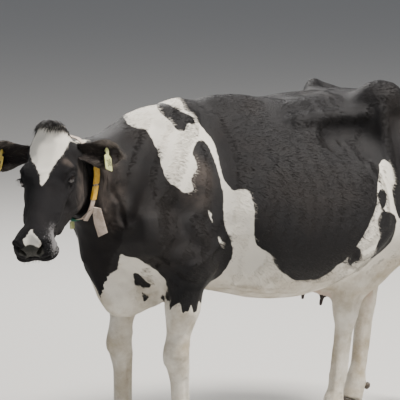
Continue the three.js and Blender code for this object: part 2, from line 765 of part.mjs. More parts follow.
function leg(name, { side, foot, fetlock }, space, box, cell) {
  const toeX = fetlock[0] - 118;
  const centreY = foot - 2;
  let solid = meshOf(flesh, ...box, cell).intersect(space);
  solid = largest(solid.trimByPlane(coronet(toeX).n.toArray(), coronet(toeX).offset + GAP / 2));
  for (const [place, inward] of [
    ["outer", -1],
    ["inner", 1],
  ]) {
    const y = side * centreY - inward * side * (FOOT.width / 2 + FOOT.cleft / 2);
    add(`claw_${name}_${place}`, "horn", behind(claw(toeX, y, inward * side), coronet(toeX)));
    const peg = [fetlock[0] + 44, side * (centreY + inward * 20), fetlock[1] - 40];
    add(`dewclaw_${name}_${place}`, "horn", dewclaw(...peg, 0));
    solid = solid.subtract(dewclaw(...peg, GAP));
  }
  add(name, "coat", largest(solid));
}
const between = (side, near, far) => [side * near, side * far].sort((a, b) => a - b);
for (const [name, spec] of Object.entries(FORE)) {
  const [y0, y1] = between(spec.side, 60, 360);
  const box = [
    [-820, y0, -30],
    [-290, y1, 960],
  ];
  leg(`foreleg_${name}`, spec, foreSpace(spec.side, -GAP / 2), box, CELL.foreleg);
}
for (const [name, spec] of Object.entries(HIND)) {
  const [y0, y1] = between(spec.side, 40, 400);
  const box = [
    [20, y0, -30],
    [900, y1, 1040],
  ];
  leg(`hindleg_${name}`, spec, hindSpace(spec.side, -GAP / 2), box, CELL.hindleg);
}

// udder, teats and tail
let udder = meshOf(flesh, [60, -170, 430], [760, 170, 960], CELL.udder);
udder = largest(udder.intersect(udderSpace(-GAP / 2)));
for (const teat of TEATS) {
  const [x, y] = teat.at;
  const reach = TEAT.root + 9;
  const space = (grow) => {
    const around = reach + grow;
    return block([x - around, y - around, 430], [x + around, y + around, TEAT.top - 24 + grow]);
  };
  const fine = meshOf(flesh, [x - 60, y - 60, 440], [x + 60, y + 60, 640], CELL.teat);
  add(teat.name, "udder", largest(fine.intersect(space(0))));
  udder = udder.subtract(space(GAP));
}
add("udder", "udder", largest(udder));

add("tail_root", "coat", largest(behind(hanging, CUTS.tailMiddle)));
add("tail_middle", "coat", largest(behind(ahead(hanging, CUTS.tailMiddle), CUTS.tailSwitch)));
add("tail_switch", "coat", largest(ahead(hanging, CUTS.tailSwitch)));

// ears: each a cupped leaf, with a tag pinned through it
const EAR = { length: 198, half: 58, thick: 10, root: [12, 96, 36], steps: 8, cuts: 4 };
const EAR_POSE = {
  left: { side: 1, back: 48, droop: 10 },
  right: { side: -1, back: 20, droop: 8 },
};
const EAR_WIDTH = along([
  [0, 0.46],
  [0.15, 0.55],
  [0.35, 0.85],
  [0.58, 1],
  [0.8, 0.84],
  [0.93, 0.5],
  [1, 0.16],
]);
const EAR_CURL = along([
  [0, 1.9],
  [0.3, 1.25],
  [0.6, 0.85],
  [1, 0.5],
]);

function earFrame({ side, back, droop }) {
  const d = THREE.MathUtils.degToRad;
  const out = onHead(0, side, 0).sub(onHead(0, 0, 0)).setZ(0).normalize();
  const rear = onHead(-1, 0, 0).sub(onHead(0, 0, 0)).setZ(0).normalize();
  const level = out.clone().multiplyScalar(Math.cos(d(back))).addScaledVector(rear, Math.sin(d(back)));
  const axis = level.multiplyScalar(Math.cos(d(droop))).setZ(-Math.sin(d(droop)));
  const open = out.clone().multiplyScalar(0.55).addScaledVector(rear, -0.82).setZ(0.05);
  open.addScaledVector(axis, -open.dot(axis)).normalize();
  const across = axis.clone().cross(open);
  return { root: onHead(EAR.root[0], side * EAR.root[1], EAR.root[2]), axis, open, across, side };
}

// A point of the ear: u along it, t across it from rim to rim, and how far behind its middle sheet.
function earPoint({ root, axis, open, across }, u, t, behindBy) {
  const bend = EAR_CURL(u);
  const radius = (EAR.half * EAR_WIDTH(u)) / Math.sin(Math.min(bend, 1.45));
  const reach = radius + behindBy;
  return root
    .clone()
    .addScaledVector(axis, u * EAR.length)
    .addScaledVector(across, reach * Math.sin(t * bend))
    .addScaledVector(open, radius * Math.cos(bend * 0.5) - reach * Math.cos(t * bend));
}

function earSolid(frame) {
  const rings = [];
  for (let r = 0; r <= EAR.steps; r++) {
    const u = r / EAR.steps;
    const half = (EAR.thick * lerp(1, 0.6, u)) / 2;
    const ring = [];
    for (let i = 0; i <= EAR.cuts; i++) ring.push(earPoint(frame, u, (2 * i) / EAR.cuts - 1, half));
    for (let i = EAR.cuts; i >= 0; i--) ring.push(earPoint(frame, u, ((2 * i) / EAR.cuts - 1) * 0.94, -half));
    rings.push(ring);
  }
  return loft(rings);
}

const TAG = {
  at: [0.62, 0.22], // along and across the ear
  width: 54,
  height: 62,
  neck: 15,
  thick: 3,
  pin: 4,
  button: 13,
  lean: 0.42,
  twist: 27,
  ahead: 16, // of the ear's middle sheet
};

function tagSolids({ axis, open, across, side }, pinned) {
  const down = across.clone().multiplyScalar(across.z > 0 ? -1 : 1);
  const hang = down.addScaledVector(open, TAG.lean).normalize();
  const face = axis.clone().cross(hang).normalize();
  if (face.dot(open) < 0) face.negate();
  face.applyAxisAngle(hang, THREE.MathUtils.degToRad(-side * TAG.twist));
  const wide = hang.clone().cross(face);
  const half = TAG.width / 2;
  const low = TAG.neck + TAG.height;
  const rightEdge = [0, -13, 9, -9, 13, 0, 9, TAG.neck, half, TAG.neck + 9, half, low - 5, half - 5, low];
  const leftEdge = [5 - half, low, -half, low - 5, -half, TAG.neck + 9, -9, TAG.neck, -13, 0, -9, -9];
  const outline = new THREE.Shape(shapePoints([...rightEdge, ...leftEdge]));
  const front = pinned.clone().addScaledVector(open, TAG.ahead);
  const panel = new THREE.ExtrudeGeometry(outline, { depth: TAG.thick, bevelEnabled: false });
  panel.applyMatrix4(new THREE.Matrix4().makeBasis(wide, hang, face).setPosition(front));
  const rod = (radius, from, to) => {
    const geometry = new THREE.CylinderGeometry(radius, radius, to - from, 7).rotateX(Math.PI / 2);
    const turn = new THREE.Matrix4().makeBasis(axis, open.clone().cross(axis), open);
    return solidOf(geometry.translate(0, 0, (from + to) / 2).applyMatrix4(turn.setPosition(pinned)));
  };
  const tag = solidOf(panel).add(rod(TAG.pin, -8, TAG.ahead + 3)).add(rod(TAG.button, -12, -8));
  return { tag, hole: rod(TAG.pin + GAP, -20, 20) };
}

for (const [name, pose] of Object.entries(EAR_POSE)) {
  const frame = earFrame(pose);
  const { tag, hole } = tagSolids(frame, earPoint(frame, TAG.at[0], -pose.side * TAG.at[1], 0));
  add(`ear_tag_${name}`, "yellow", tag);
  const ear = earSolid(frame).subtract(hole).subtract(swollen(skull, GAP)).subtract(swollen(neck, GAP));
  add(`ear_${name}`, "coat", largest(ear));
}

// collar: a strap round the neck behind the jaw, two number blocks, a loose end, a clip and its tag
const COLLAR = {
  centre: new THREE.Vector3(-981, -131, 1136),
  turn: 40, // degrees to the cow's left
  rise: 4, // degrees of the axis over level
  width: 38,
  thick: 4,
  slack: 8,
  stations: 22,
};
const collarAxis = new THREE.Vector3(-1, 0, 0)
  .applyAxisAngle(new THREE.Vector3(0, 1, 0), THREE.MathUtils.degToRad(COLLAR.rise))
  .applyAxisAngle(new THREE.Vector3(0, 0, 1), THREE.MathUtils.degToRad(COLLAR.turn));
const collarSide = new THREE.Vector3(0, 0, 1).cross(collarAxis).normalize();
const collarTop = collarAxis.clone().cross(collarSide);
const roundCollar = (angle) =>
  collarSide.clone().multiplyScalar(Math.cos(angle)).addScaledVector(collarTop, Math.sin(angle));

// Where the skin lies from the collar's centre, at an angle from the cow's left over the crest.
function neckReach(angle, shift) {
  const centre = COLLAR.centre.clone().addScaledVector(collarAxis, shift);
  const way = roundCollar(angle);
  let [inside, outside] = [10, 420];
  for (let i = 0; i < 24; i++) {
    const middle = (inside + outside) / 2;
    const p = centre.clone().addScaledVector(way, middle);
    if (flesh(p.x, p.y, p.z) < 0) inside = middle;
    else outside = middle;
  }
  return inside;
}
function collarPoint(angle, out, shift) {
  const edge = COLLAR.width / 2;
  const reach = Math.max(neckReach(angle, -edge), neckReach(angle, 0), neckReach(angle, edge));
  return COLLAR.centre
    .clone()
    .addScaledVector(collarAxis, shift)
    .addScaledVector(collarSide, Math.cos(angle) * (reach + out))
    .addScaledVector(collarTop, Math.sin(angle) * (reach + out));
}
function collarBand({ from, to, steps, inner, outer, half }) {
  const closed = to - from >= 360;
  const rings = [];
  for (let i = 0; i < steps + (closed ? 0 : 1); i++) {
    const angle = THREE.MathUtils.degToRad(lerp(from, to, i / steps));
    rings.push([
      collarPoint(angle, inner, -half),
      collarPoint(angle, outer, -half),
      collarPoint(angle, outer, half),
      collarPoint(angle, inner, half),
    ]);
  }
  return loft(rings, { closed });
}
const strapBand = (grow) =>
  collarBand({
    from: 0,
    to: 360,
    steps: COLLAR.stations,
    inner: COLLAR.slack - grow,
    outer: COLLAR.slack + COLLAR.thick + grow,
    half: COLLAR.width / 2 + grow,
  });
const SLEEVES = [
  { name: "collar_block_upper", finish: "yellow", from: 10, to: 39, half: 20.5 },
  { name: "collar_block_lower", finish: "yellow", from: -23, to: 6, half: 20.5 },
  { name: "collar_clip", finish: "green", from: -86, to: -74, half: 20.5 },
];
add("collar_strap", "strap", strapBand(0));
for (const { name, finish, ...span } of SLEEVES) {
  const sleeve = collarBand({ ...span, steps: 4, inner: COLLAR.slack - 2.5, outer: COLLAR.slack + 6.5 });
  add(name, finish, sleeve.subtract(strapBand(GAP)));
}

// A flat strip along a path: every station has its place and the way its width lies.
function strip(stations, width, thick) {
  const rings = stations.map(({ at, wide }, i) => {
    const before = stations[Math.max(0, i - 1)].at;
    const after = stations[Math.min(stations.length - 1, i + 1)].at;
    const w = wide.clone().normalize();
    const t = after.clone().sub(before).cross(w).normalize();
    const corner = (a, b) =>
      at.clone().addScaledVector(w, (a * width) / 2).addScaledVector(t, (b * thick) / 2);
    return [corner(-1, -1), corner(1, -1), corner(1, 1), corner(-1, 1)];
  });
  return loft(rings);
}
const END = { angle: -48, out: COLLAR.slack + COLLAR.thick + 6, width: 40, thick: 4 };
{
  const start = collarPoint(THREE.MathUtils.degToRad(END.angle), END.out, 0);
  const at = (x, y, z) => start.clone().add(new THREE.Vector3(x, y, z));
  const wide = (x, y, z) => new THREE.Vector3(x, y, z);
  add(
    "collar_end",
    "strap",
    strip(
      [
        { at: at(-20, 6, -26), wide: wide(-0.72, -0.6, 0.2) },
        { at: at(-10, -8, 4), wide: wide(-0.7, -0.6, 0.3) },
        { at: at(2, -20, 18), wide: wide(-0.3, -0.7, 0.6) },
        { at: at(14, -24, 10), wide: wide(0.6, -0.4, 0.62) },
        { at: at(22, -24, -26), wide: wide(0.8, -0.42, 0.4) },
        { at: at(38, -28, -80), wide: wide(0.8, -0.42, 0.45) },
      ],
      END.width,
      END.thick,
    ),
  );
}
{
  const angle = THREE.MathUtils.degToRad(-84);
  const middle = collarPoint(angle, COLLAR.slack + 6.5 + GAP + 17.5, 8);
  const radial = roundCollar(angle);
  const round = collarAxis.clone().cross(radial);
  const corners = [17, 11, 13, 15, -13, 15, -17, 11, -17, -11, -13, -15, 13, -15, 17, -11];
  const outline = new THREE.Shape(shapePoints(corners));
  const plate = new THREE.ExtrudeGeometry(outline, { depth: 7, bevelEnabled: false }).translate(0, 0, -3.5);
  plate.applyMatrix4(new THREE.Matrix4().makeBasis(collarAxis, radial, round).setPosition(middle));
  add("collar_tag", "pale", solidOf(plate));
}
add("head", "coat", largest(skull));
add("neck", "coat", largest(neck));

const box = new THREE.Box3().setFromObject(cow);
cow.position.set(-(box.min.x + box.max.x) / 2, -(box.min.y + box.max.y) / 2, -box.min.z);
cow.updateMatrixWorld(true);
export default cow;
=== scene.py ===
import math
import bmesh
import bpy
import numpy as np
from mathutils import Matrix, Vector


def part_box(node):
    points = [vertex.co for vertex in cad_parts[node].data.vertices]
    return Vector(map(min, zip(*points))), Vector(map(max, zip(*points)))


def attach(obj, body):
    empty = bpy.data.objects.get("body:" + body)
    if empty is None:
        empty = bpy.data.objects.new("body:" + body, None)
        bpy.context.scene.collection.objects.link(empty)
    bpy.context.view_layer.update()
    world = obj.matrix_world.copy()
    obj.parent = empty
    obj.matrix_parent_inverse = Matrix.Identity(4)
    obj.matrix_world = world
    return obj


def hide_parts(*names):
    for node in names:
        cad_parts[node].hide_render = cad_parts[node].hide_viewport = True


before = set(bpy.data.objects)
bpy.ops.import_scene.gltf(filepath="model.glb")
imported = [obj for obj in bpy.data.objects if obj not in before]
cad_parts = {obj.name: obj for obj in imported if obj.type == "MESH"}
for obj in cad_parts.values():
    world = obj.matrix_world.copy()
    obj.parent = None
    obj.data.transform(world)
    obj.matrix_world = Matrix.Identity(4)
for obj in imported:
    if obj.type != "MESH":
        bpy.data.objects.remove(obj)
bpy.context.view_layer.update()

# places shared by every piece: metres, the cow faces -X and its left is -Y
fleshNodes = ["trunk", "neck", "head", "udder", "tail_root", "tail_middle", "tail_switch",
              "foreleg_left", "foreleg_right", "hindleg_left", "hindleg_right",
              "teat_front_left", "teat_front_right", "teat_back_left", "teat_back_right"]
legNames = ["foreleg_left", "foreleg_right", "hindleg_left", "hindleg_right"]


def middle(node):
    low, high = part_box(node)
    return (low + high) / 2


# the head's own frame: x to the nose, y to the cow's left, z out of the forehead
headPose = {"turn": 49.5, "nod": 32.5, "roll": 6.6, "eyeAt": (0.160, 0.084, 0.026)}


def headAxes():
    turn, nod, roll = (math.radians(headPose[k]) for k in ("turn", "nod", "roll"))
    ahead = Vector((-math.cos(turn), -math.sin(turn), 0))
    nose = ahead * math.cos(nod) + Vector((0, 0, -math.sin(nod)))
    brow = ahead * math.sin(nod) + Vector((0, 0, math.cos(nod)))
    brow = Matrix.Rotation(roll, 3, nose) @ brow
    return nose, brow.cross(nose), brow


noseWay, leftWay, browWay = headAxes()
headTurn = Matrix((noseWay, leftWay, browWay)).transposed()
eyesMiddle = (middle("eye_left") + middle("eye_right")) / 2
headJoint = eyesMiddle - headTurn @ Vector((headPose["eyeAt"][0], 0, headPose["eyeAt"][2]))


def onHead(*at):
    return headJoint + headTurn @ Vector(at)


# helpers for meshes
def deselectAll():
    if bpy.context.object and bpy.context.object.mode != "OBJECT":
        bpy.ops.object.mode_set(mode="OBJECT")
    bpy.ops.object.select_all(action="DESELECT")


def activate(obj):
    deselectAll()
    obj.select_set(True)
    bpy.context.view_layer.objects.active = obj
    return obj


def applyModifiers(obj):
    activate(obj)
    for modifier in list(obj.modifiers):
        bpy.ops.object.modifier_apply(modifier=modifier.name)


def copyOf(node, name):
    obj = bpy.data.objects.new(name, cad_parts[node].data.copy())
    bpy.context.collection.objects.link(obj)
    obj.data.materials.clear()
    mesh = bmesh.new()
    mesh.from_mesh(obj.data)
    bmesh.ops.remove_doubles(mesh, verts=mesh.verts, dist=0.00002)
    mesh.to_mesh(obj.data)
    mesh.free()
    return obj


def joined(objects, name):
    deselectAll()
    for obj in objects:
        obj.select_set(True)
    bpy.context.view_layer.objects.active = objects[0]
    if len(objects) > 1:
        bpy.ops.object.join()
    objects[0].name = name
    objects[0].data.name = name
    return objects[0]


def pointsOf(obj):
    places = np.empty(len(obj.data.vertices) * 3)
    obj.data.vertices.foreach_get("co", places)
    return places.reshape(-1, 3)


def setPoints(obj, places):
    obj.data.vertices.foreach_set("co", places.ravel())
    obj.data.update()


def normalsOf(obj):
    normals = np.empty(len(obj.data.vertices) * 3)
    obj.data.vertex_normals.foreach_get("vector", normals)
    return normals.reshape(-1, 3)


def setValue(obj, name, values, domain="POINT"):
    layer = obj.data.attributes.get(name) or obj.data.attributes.new(name, "FLOAT", domain)
    layer.data.foreach_set("value", np.asarray(values, np.float32))


def smoothStep(low, high, value):
    t = np.clip((value - low) / (high - low), 0, 1)
    return t * t * (3 - 2 * t)


def toHead(places):
    return (places - np.array(headJoint)) @ np.array(headTurn)


def distanceToPath(places, path):
    best = np.full(len(places), 9.0)
    for a, b in zip(path[:-1], path[1:]) if len(path) > 1 else [(path[0], path[0])]:
        step = b - a
        t = np.clip((places - a) @ step / max(step @ step, 1e-12), 0, 1)
        best = np.minimum(best, np.linalg.norm(places - a - t[:, None] * step, axis=1))
    return best


# points of a smooth curve through the corners
def rounded(corners, steps=4, closed=True):
    corners = np.asarray(corners, float)
    count = len(corners)
    at = (lambda i: corners[i % count]) if closed else (lambda i: corners[min(max(i, 0), count - 1)])
    out = []
    for i in range(count if closed else count - 1):
        a, b, c, d = at(i - 1), at(i), at(i + 1), at(i + 2)
        for s in range(steps):
            t = s / steps
            out.append(0.5 * (2 * b + (c - a) * t + (2 * a - 5 * b + 4 * c - d) * t * t
                              + (3 * b - a - 3 * c + d) * t ** 3))
    return np.array(out if closed else out + [corners[-1]])


# signed distance to a flat outline: positive inside, and cut off at its reach outside
def insideDistance(everywhere, outline, reach=0.06):
    low, high = outline.min(0) - reach, outline.max(0) + reach
    near = np.nonzero(np.all((everywhere > low) & (everywhere < high), axis=1))[0]
    places = everywhere[near]
    nearest = np.full(len(places), 9.0)
    inside = np.zeros(len(places), bool)
    for a, b in zip(outline, np.roll(outline, -1, axis=0)):
        step = b - a
        t = np.clip((places - a) @ step / max(step @ step, 1e-12), 0, 1)
        nearest = np.minimum(nearest, np.linalg.norm(places - a - t[:, None] * step, axis=1))
        crosses = (a[1] > places[:, 1]) != (b[1] > places[:, 1])
        with np.errstate(divide="ignore", invalid="ignore"):
            at = a[0] + (places[:, 1] - a[1]) / (b[1] - a[1]) * (b[0] - a[0])
        inside ^= crosses & (places[:, 0] < at)
    result = np.full(len(everywhere), -reach)
    result[near] = np.maximum(np.where(inside, nearest, -nearest), -reach)
    return result


# skin: one surface over all the flesh
skinSize = {"voxel": 0.009, "overlap": 0.0015, "rounds": 70, "inset": 0.004, "insetFine": 0.0022,
            "kept": 0.55}


def edgesOf(obj):
    edges = np.empty(len(obj.data.edges) * 2, np.int64)
    obj.data.edges.foreach_get("vertices", edges)
    return edges.reshape(-1, 2)


def relaxed(places, edges, strength, rounds):
    count = len(places)
    degree = np.maximum(np.bincount(edges.ravel(), minlength=count), 1)[:, None]
    places = places.copy()
    for _ in range(rounds):
        total = np.empty_like(places)
        for axis in range(3):
            total[:, axis] = (np.bincount(edges[:, 0], places[edges[:, 1], axis], count)
                              + np.bincount(edges[:, 1], places[edges[:, 0], axis], count))
        places += strength[:, None] * (total / degree - places)
    return places


# an even skin over facets, without losing its size
def remeshed(obj, voxel):
    obj.data.remesh_voxel_size = voxel
    obj.data.use_remesh_fix_poles = False
    activate(obj)
    bpy.ops.object.voxel_remesh()


def smoothed(obj, strength, rounds):
    places, edges = pointsOf(obj), edgesOf(obj)
    once = relaxed(places, edges, strength, rounds)
    return 2 * once - relaxed(once, edges, strength, rounds)


# how strongly the facets are smoothed: most on the trunk, least on legs, head and tail
def firmness(places):
    head = toHead(places)
    onTrunk = smoothStep(0.60, 0.86, places[:, 2]) * smoothStep(-0.06, -0.22, head[:, 0])
    tail = smoothStep(0.99, 1.03, places[:, 0])
    return np.clip(0.09 + 0.41 * onTrunk * (1 - tail), 0, 0.5)


def buildSkin():
    parts = [copyOf(node, "flesh_" + node) for node in fleshNodes + ["eye_left", "eye_right"]]
    skin = joined(parts, "skin")
    setPoints(skin, pointsOf(skin) + skinSize["overlap"] * normalsOf(skin))
    remeshed(skin, skinSize["voxel"])
    keepLargest(skin)
    setPoints(skin, smoothed(skin, firmness(pointsOf(skin)), skinSize["rounds"]))
    print("skin faces", len(skin.data.polygons))
    return skin


def keepLargest(obj):
    mesh = bmesh.new()
    mesh.from_mesh(obj.data)
    mesh.verts.ensure_lookup_table()
    seen = np.zeros(len(mesh.verts), bool)
    groups = []
    for start in mesh.verts:
        if seen[start.index]:
            continue
        stack, group = [start], []
        seen[start.index] = True
        while stack:
            vert = stack.pop()
            group.append(vert)
            for edge in vert.link_edges:
                other = edge.other_vert(vert)
                if not seen[other.index]:
                    seen[other.index] = True
                    stack.append(other)
        groups.append(group)
    groups.sort(key=len)
    for group in groups[:-1]:
        bmesh.ops.delete(mesh, geom=group, context="VERTS")
    mesh.to_mesh(obj.data)
    mesh.free()


# splits the faces whose middle is chosen
def refine(obj, chosen):
    mesh = obj.data
    middles = np.empty(len(mesh.polygons) * 3)
    mesh.polygons.foreach_get("center", middles)
    picked = chosen(middles.reshape(-1, 3))
    activate(obj)
    mesh.polygons.foreach_set("select", np.zeros(len(mesh.polygons), bool))
    mesh.edges.foreach_set("select", np.zeros(len(mesh.edges), bool))
    mesh.vertices.foreach_set("select", np.zeros(len(mesh.vertices), bool))
    mesh.polygons.foreach_set("select", picked)
    bpy.ops.object.mode_set(mode="EDIT")
    bpy.ops.mesh.select_mode(type="FACE")
    bpy.ops.mesh.subdivide(number_cuts=1, smoothness=0.6)
    bpy.ops.object.mode_set(mode="OBJECT")


legBones = {
    "foreleg_left": {"side": -1, "foot": 0.166, "knee": (-0.528, 0.442), "fetlock": (-0.512, 0.152)},
    "foreleg_right": {"side": 1, "foot": 0.158, "knee": (-0.604, 0.442), "fetlock": (-0.600, 0.152)},
    "hindleg_left": {"side": -1, "foot": 0.142, "hock": (0.272, 0.530), "fetlock": (0.236, 0.155)},
    "hindleg_right": {"side": 1, "foot": 0.150, "hock": (0.578, 0.528), "fetlock": (0.550, 0.155)},
}
clawReach = 0.118  # from the fetlock's middle forward to the toe


# what the frame's origin adds to the legs' own places
def legShift():
    low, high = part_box("claw_foreleg_left_outer")
    bone = legBones["foreleg_left"]
    return low.x - (bone["fetlock"][0] - clawReach), (low.y + high.y) / 2 + bone["foot"] + 0.026


shiftX, shiftY = legShift()


# the surface's place nearest to a point, evened out over the vertices round it
def surfacePoint(places, point, even):
    nearest = places[np.argmin(np.linalg.norm(places - point, axis=1))]
    weight = np.exp(-(np.linalg.norm(places - nearest, axis=1) / even) ** 2)
    return (places * weight[:, None]).sum(axis=0) / weight.sum()


# strokes: the folds, bones and veins that the skin shows
# each is a path that is drawn onto the surface, its reach and how far it lifts, in metres
def stroke(obj, path, reach, lift, both=True, head=False):
    places, normals = pointsOf(obj), normalsOf(obj)
    moved = np.zeros(len(places))
    for side in (1, -1) if both else (1,):
        line = np.array(path, float) * (1, side, 1)
        if head:
            line = line @ np.array(headTurn).T + np.array(headJoint)
        elif both:
            line = line + (0, shiftY, 0)
        low, high = line.min(0) - reach - 0.08, line.max(0) + reach + 0.08
        near = np.nonzero(np.all((places > low) & (places < high), axis=1))[0]
        if not len(near):
            continue
        line = rounded(line, 4, closed=False) if len(line) > 2 else line
        snapped = [surfacePoint(places[near], p, 0.004 if head else 0.010) for p in line]
        distance = distanceToPath(places[near], np.array(snapped))
        falloff = np.clip(1 - (distance / reach) ** 2, 0, 1) ** 2
        moved[near] = np.where(np.abs(lift * falloff) > np.abs(moved[near]), lift * falloff, moved[near])
    setPoints(obj, places + normals * moved[:, None])


# the eyes' places and the lids round them
eyeLook = {"gaze": (0.34, 0.92, 0.10), "radius": 0.021, "halfWidth": 0.90, "upper": 0.66, "lower": 0.50,
           "lid": 0.0024, "hidden": 0.0150}
eyeSides = {"eye_left": 1, "eye_right": -1}


def eyeAxes(side):
    forward, out, up = eyeLook["gaze"]
    gaze = (headTurn @ Vector((forward, side * out, up))).normalized()
    raised = browWay * 0.9 - noseWay * 0.25
    raised = (raised - gaze * raised.dot(gaze)).normalized()
    return gaze, raised.cross(gaze) * side, raised


# direction from the eye's middle, angle off the gaze, and how far outside the opening (1 at its edge)
def lidPlace(places, node):
    centre = np.array(middle(node))
    gaze, corner, raised = (np.array(v) for v in eyeAxes(eyeSides[node]))
    way = places - centre
    reach = np.linalg.norm(way, axis=1)
    way = way / reach[:, None]
    high, along = way @ raised, way @ corner
    half = np.where(high > 0, eyeLook["upper"], eyeLook["lower"])
    opening = np.abs(high) / half + (along / eyeLook["halfWidth"]) ** 2
    angle = np.arccos(np.clip(way @ gaze, -1, 1))
    return centre, way, reach, angle, opening


def shapeLids(obj):
    places = pointsOf(obj)
    for node in eyeSides:
        near = np.nonzero(np.linalg.norm(places - np.array(middle(node)), axis=1) < 0.05)[0]
        centre, way, reach, angle, opening = lidPlace(places[near], node)
        rim = eyeLook["lid"] * (1 - 0.45 * smoothStep(1.0, 1.9, opening))
        wanted = np.where(opening < 1, eyeLook["hidden"], eyeLook["radius"] + rim)
        hold = 1 - smoothStep(math.radians(48), math.radians(80), angle)
        reach = reach + (wanted - reach) * hold
        places[near] = centre + way * reach[:, None]
    setPoints(obj, places)


# head: what the skin shows of bone, fold and nostril, in the head's frame
headStrokes = [
    # path, reach, lift
    ([(0.512, 0.026, -0.020), (0.513, 0.036, -0.004), (0.503, 0.047, 0.008)], 0.0085, -0.017),  # nostril
    ([(0.492, 0.058, 0.014), (0.482, 0.066, -0.004)], 0.006, -0.005),
    ([(0.505, 0.034, 0.022), (0.492, 0.052, 0.026), (0.476, 0.066, 0.008)], 0.013, 0.0045),
    ([(0.521, 0.012, -0.004), (0.520, 0.014, -0.026)], 0.012, 0.003),
    ([(0.514, 0.000, -0.044), (0.508, 0.030, -0.046), (0.486, 0.062, -0.048), (0.446, 0.074, -0.050),
      (0.400, 0.068, -0.056), (0.368, 0.062, -0.058)], 0.0052, -0.0075),  # mouth
    ([(0.505, 0.020, -0.060), (0.480, 0.060, -0.062), (0.440, 0.070, -0.066)], 0.014, 0.004),
    ([(0.506, 0.028, -0.034), (0.484, 0.062, -0.034), (0.440, 0.076, -0.036)], 0.012, 0.004),
    ([(0.400, 0.060, -0.082), (0.345, 0.052, -0.090)], 0.030, -0.006),
    ([(0.205, 0.080, -0.004), (0.270, 0.066, -0.012), (0.335, 0.056, -0.020)], 0.026, 0.003),  # face crest
    ([(0.225, 0.075, -0.050), (0.300, 0.062, -0.052), (0.360, 0.056, -0.050)], 0.030, -0.006),
    ([(0.245, 0.040, 0.055), (0.330, 0.038, 0.036), (0.410, 0.038, 0.020)], 0.026, -0.002),
    ([(0.120, 0.078, 0.062), (0.150, 0.084, 0.066), (0.185, 0.080, 0.056)], 0.024, 0.0040),  # brow
    ([(0.070, 0.086, 0.046), (0.098, 0.086, 0.052)], 0.034, -0.006),  # hollow over the eye
    ([(0.205, 0.080, 0.024), (0.228, 0.070, 0.016)], 0.018, -0.0025),  # tear duct
    ([(0.020, 0.092, -0.030), (0.034, 0.096, -0.080), (0.070, 0.086, -0.124)], 0.022, 0.006),  # jaw
    ([(-0.004, 0.094, -0.040), (0.006, 0.094, -0.090)], 0.016, -0.008),
    ([(0.120, 0.082, -0.120), (0.220, 0.062, -0.112), (0.320, 0.048, -0.100)], 0.018, 0.004),
    ([(0.160, 0.088, -0.060), (0.165, 0.080, -0.100), (0.210, 0.066, -0.085)], 0.010, -0.0025),
    ([(0.235, 0.072, -0.070), (0.270, 0.064, -0.040), (0.320, 0.054, -0.002)], 0.0055, 0.0022),  # vein
    ([(0.330, 0.058, -0.060), (0.300, 0.060, -0.078), (0.262, 0.064, -0.082)], 0.005, -0.0018),
    ([(0.385, 0.058, -0.020), (0.350, 0.056, -0.036), (0.322, 0.058, -0.052)], 0.007, -0.002),
    ([(0.395, 0.062, 0.000), (0.366, 0.056, -0.014)], 0.007, -0.002),
]
lidFolds = [
    ([(0.128, 0.098, 0.040), (0.146, 0.104, 0.054), (0.170, 0.102, 0.057), (0.194, 0.090, 0.046)],
     0.0065, -0.0022),
    ([(0.124, 0.098, 0.052), (0.146, 0.102, 0.068), (0.176, 0.098, 0.068)], 0.008, 0.0018),
    ([(0.134, 0.102, 0.006), (0.152, 0.105, -0.004), (0.176, 0.102, -0.005), (0.198, 0.090, 0.004)],
     0.006, -0.0017),
    ([(0.132, 0.102, -0.008), (0.156, 0.104, -0.018), (0.186, 0.096, -0.016)], 0.007, 0.0013),
    ([(0.203, 0.083, 0.012), (0.218, 0.076, 0.004)], 0.006, -0.0018),
]
midHeadStrokes = [
    ([(0.060, 0.0, 0.110), (0.150, 0.0, 0.096)], 0.040, -0.004),
    ([(0.517, 0.0, 0.010), (0.520, 0.0, -0.030)], 0.004, -0.0018),
    ([(0.515, 0.0, 0.020), (0.505, 0.0, 0.036)], 0.030, -0.003),
]

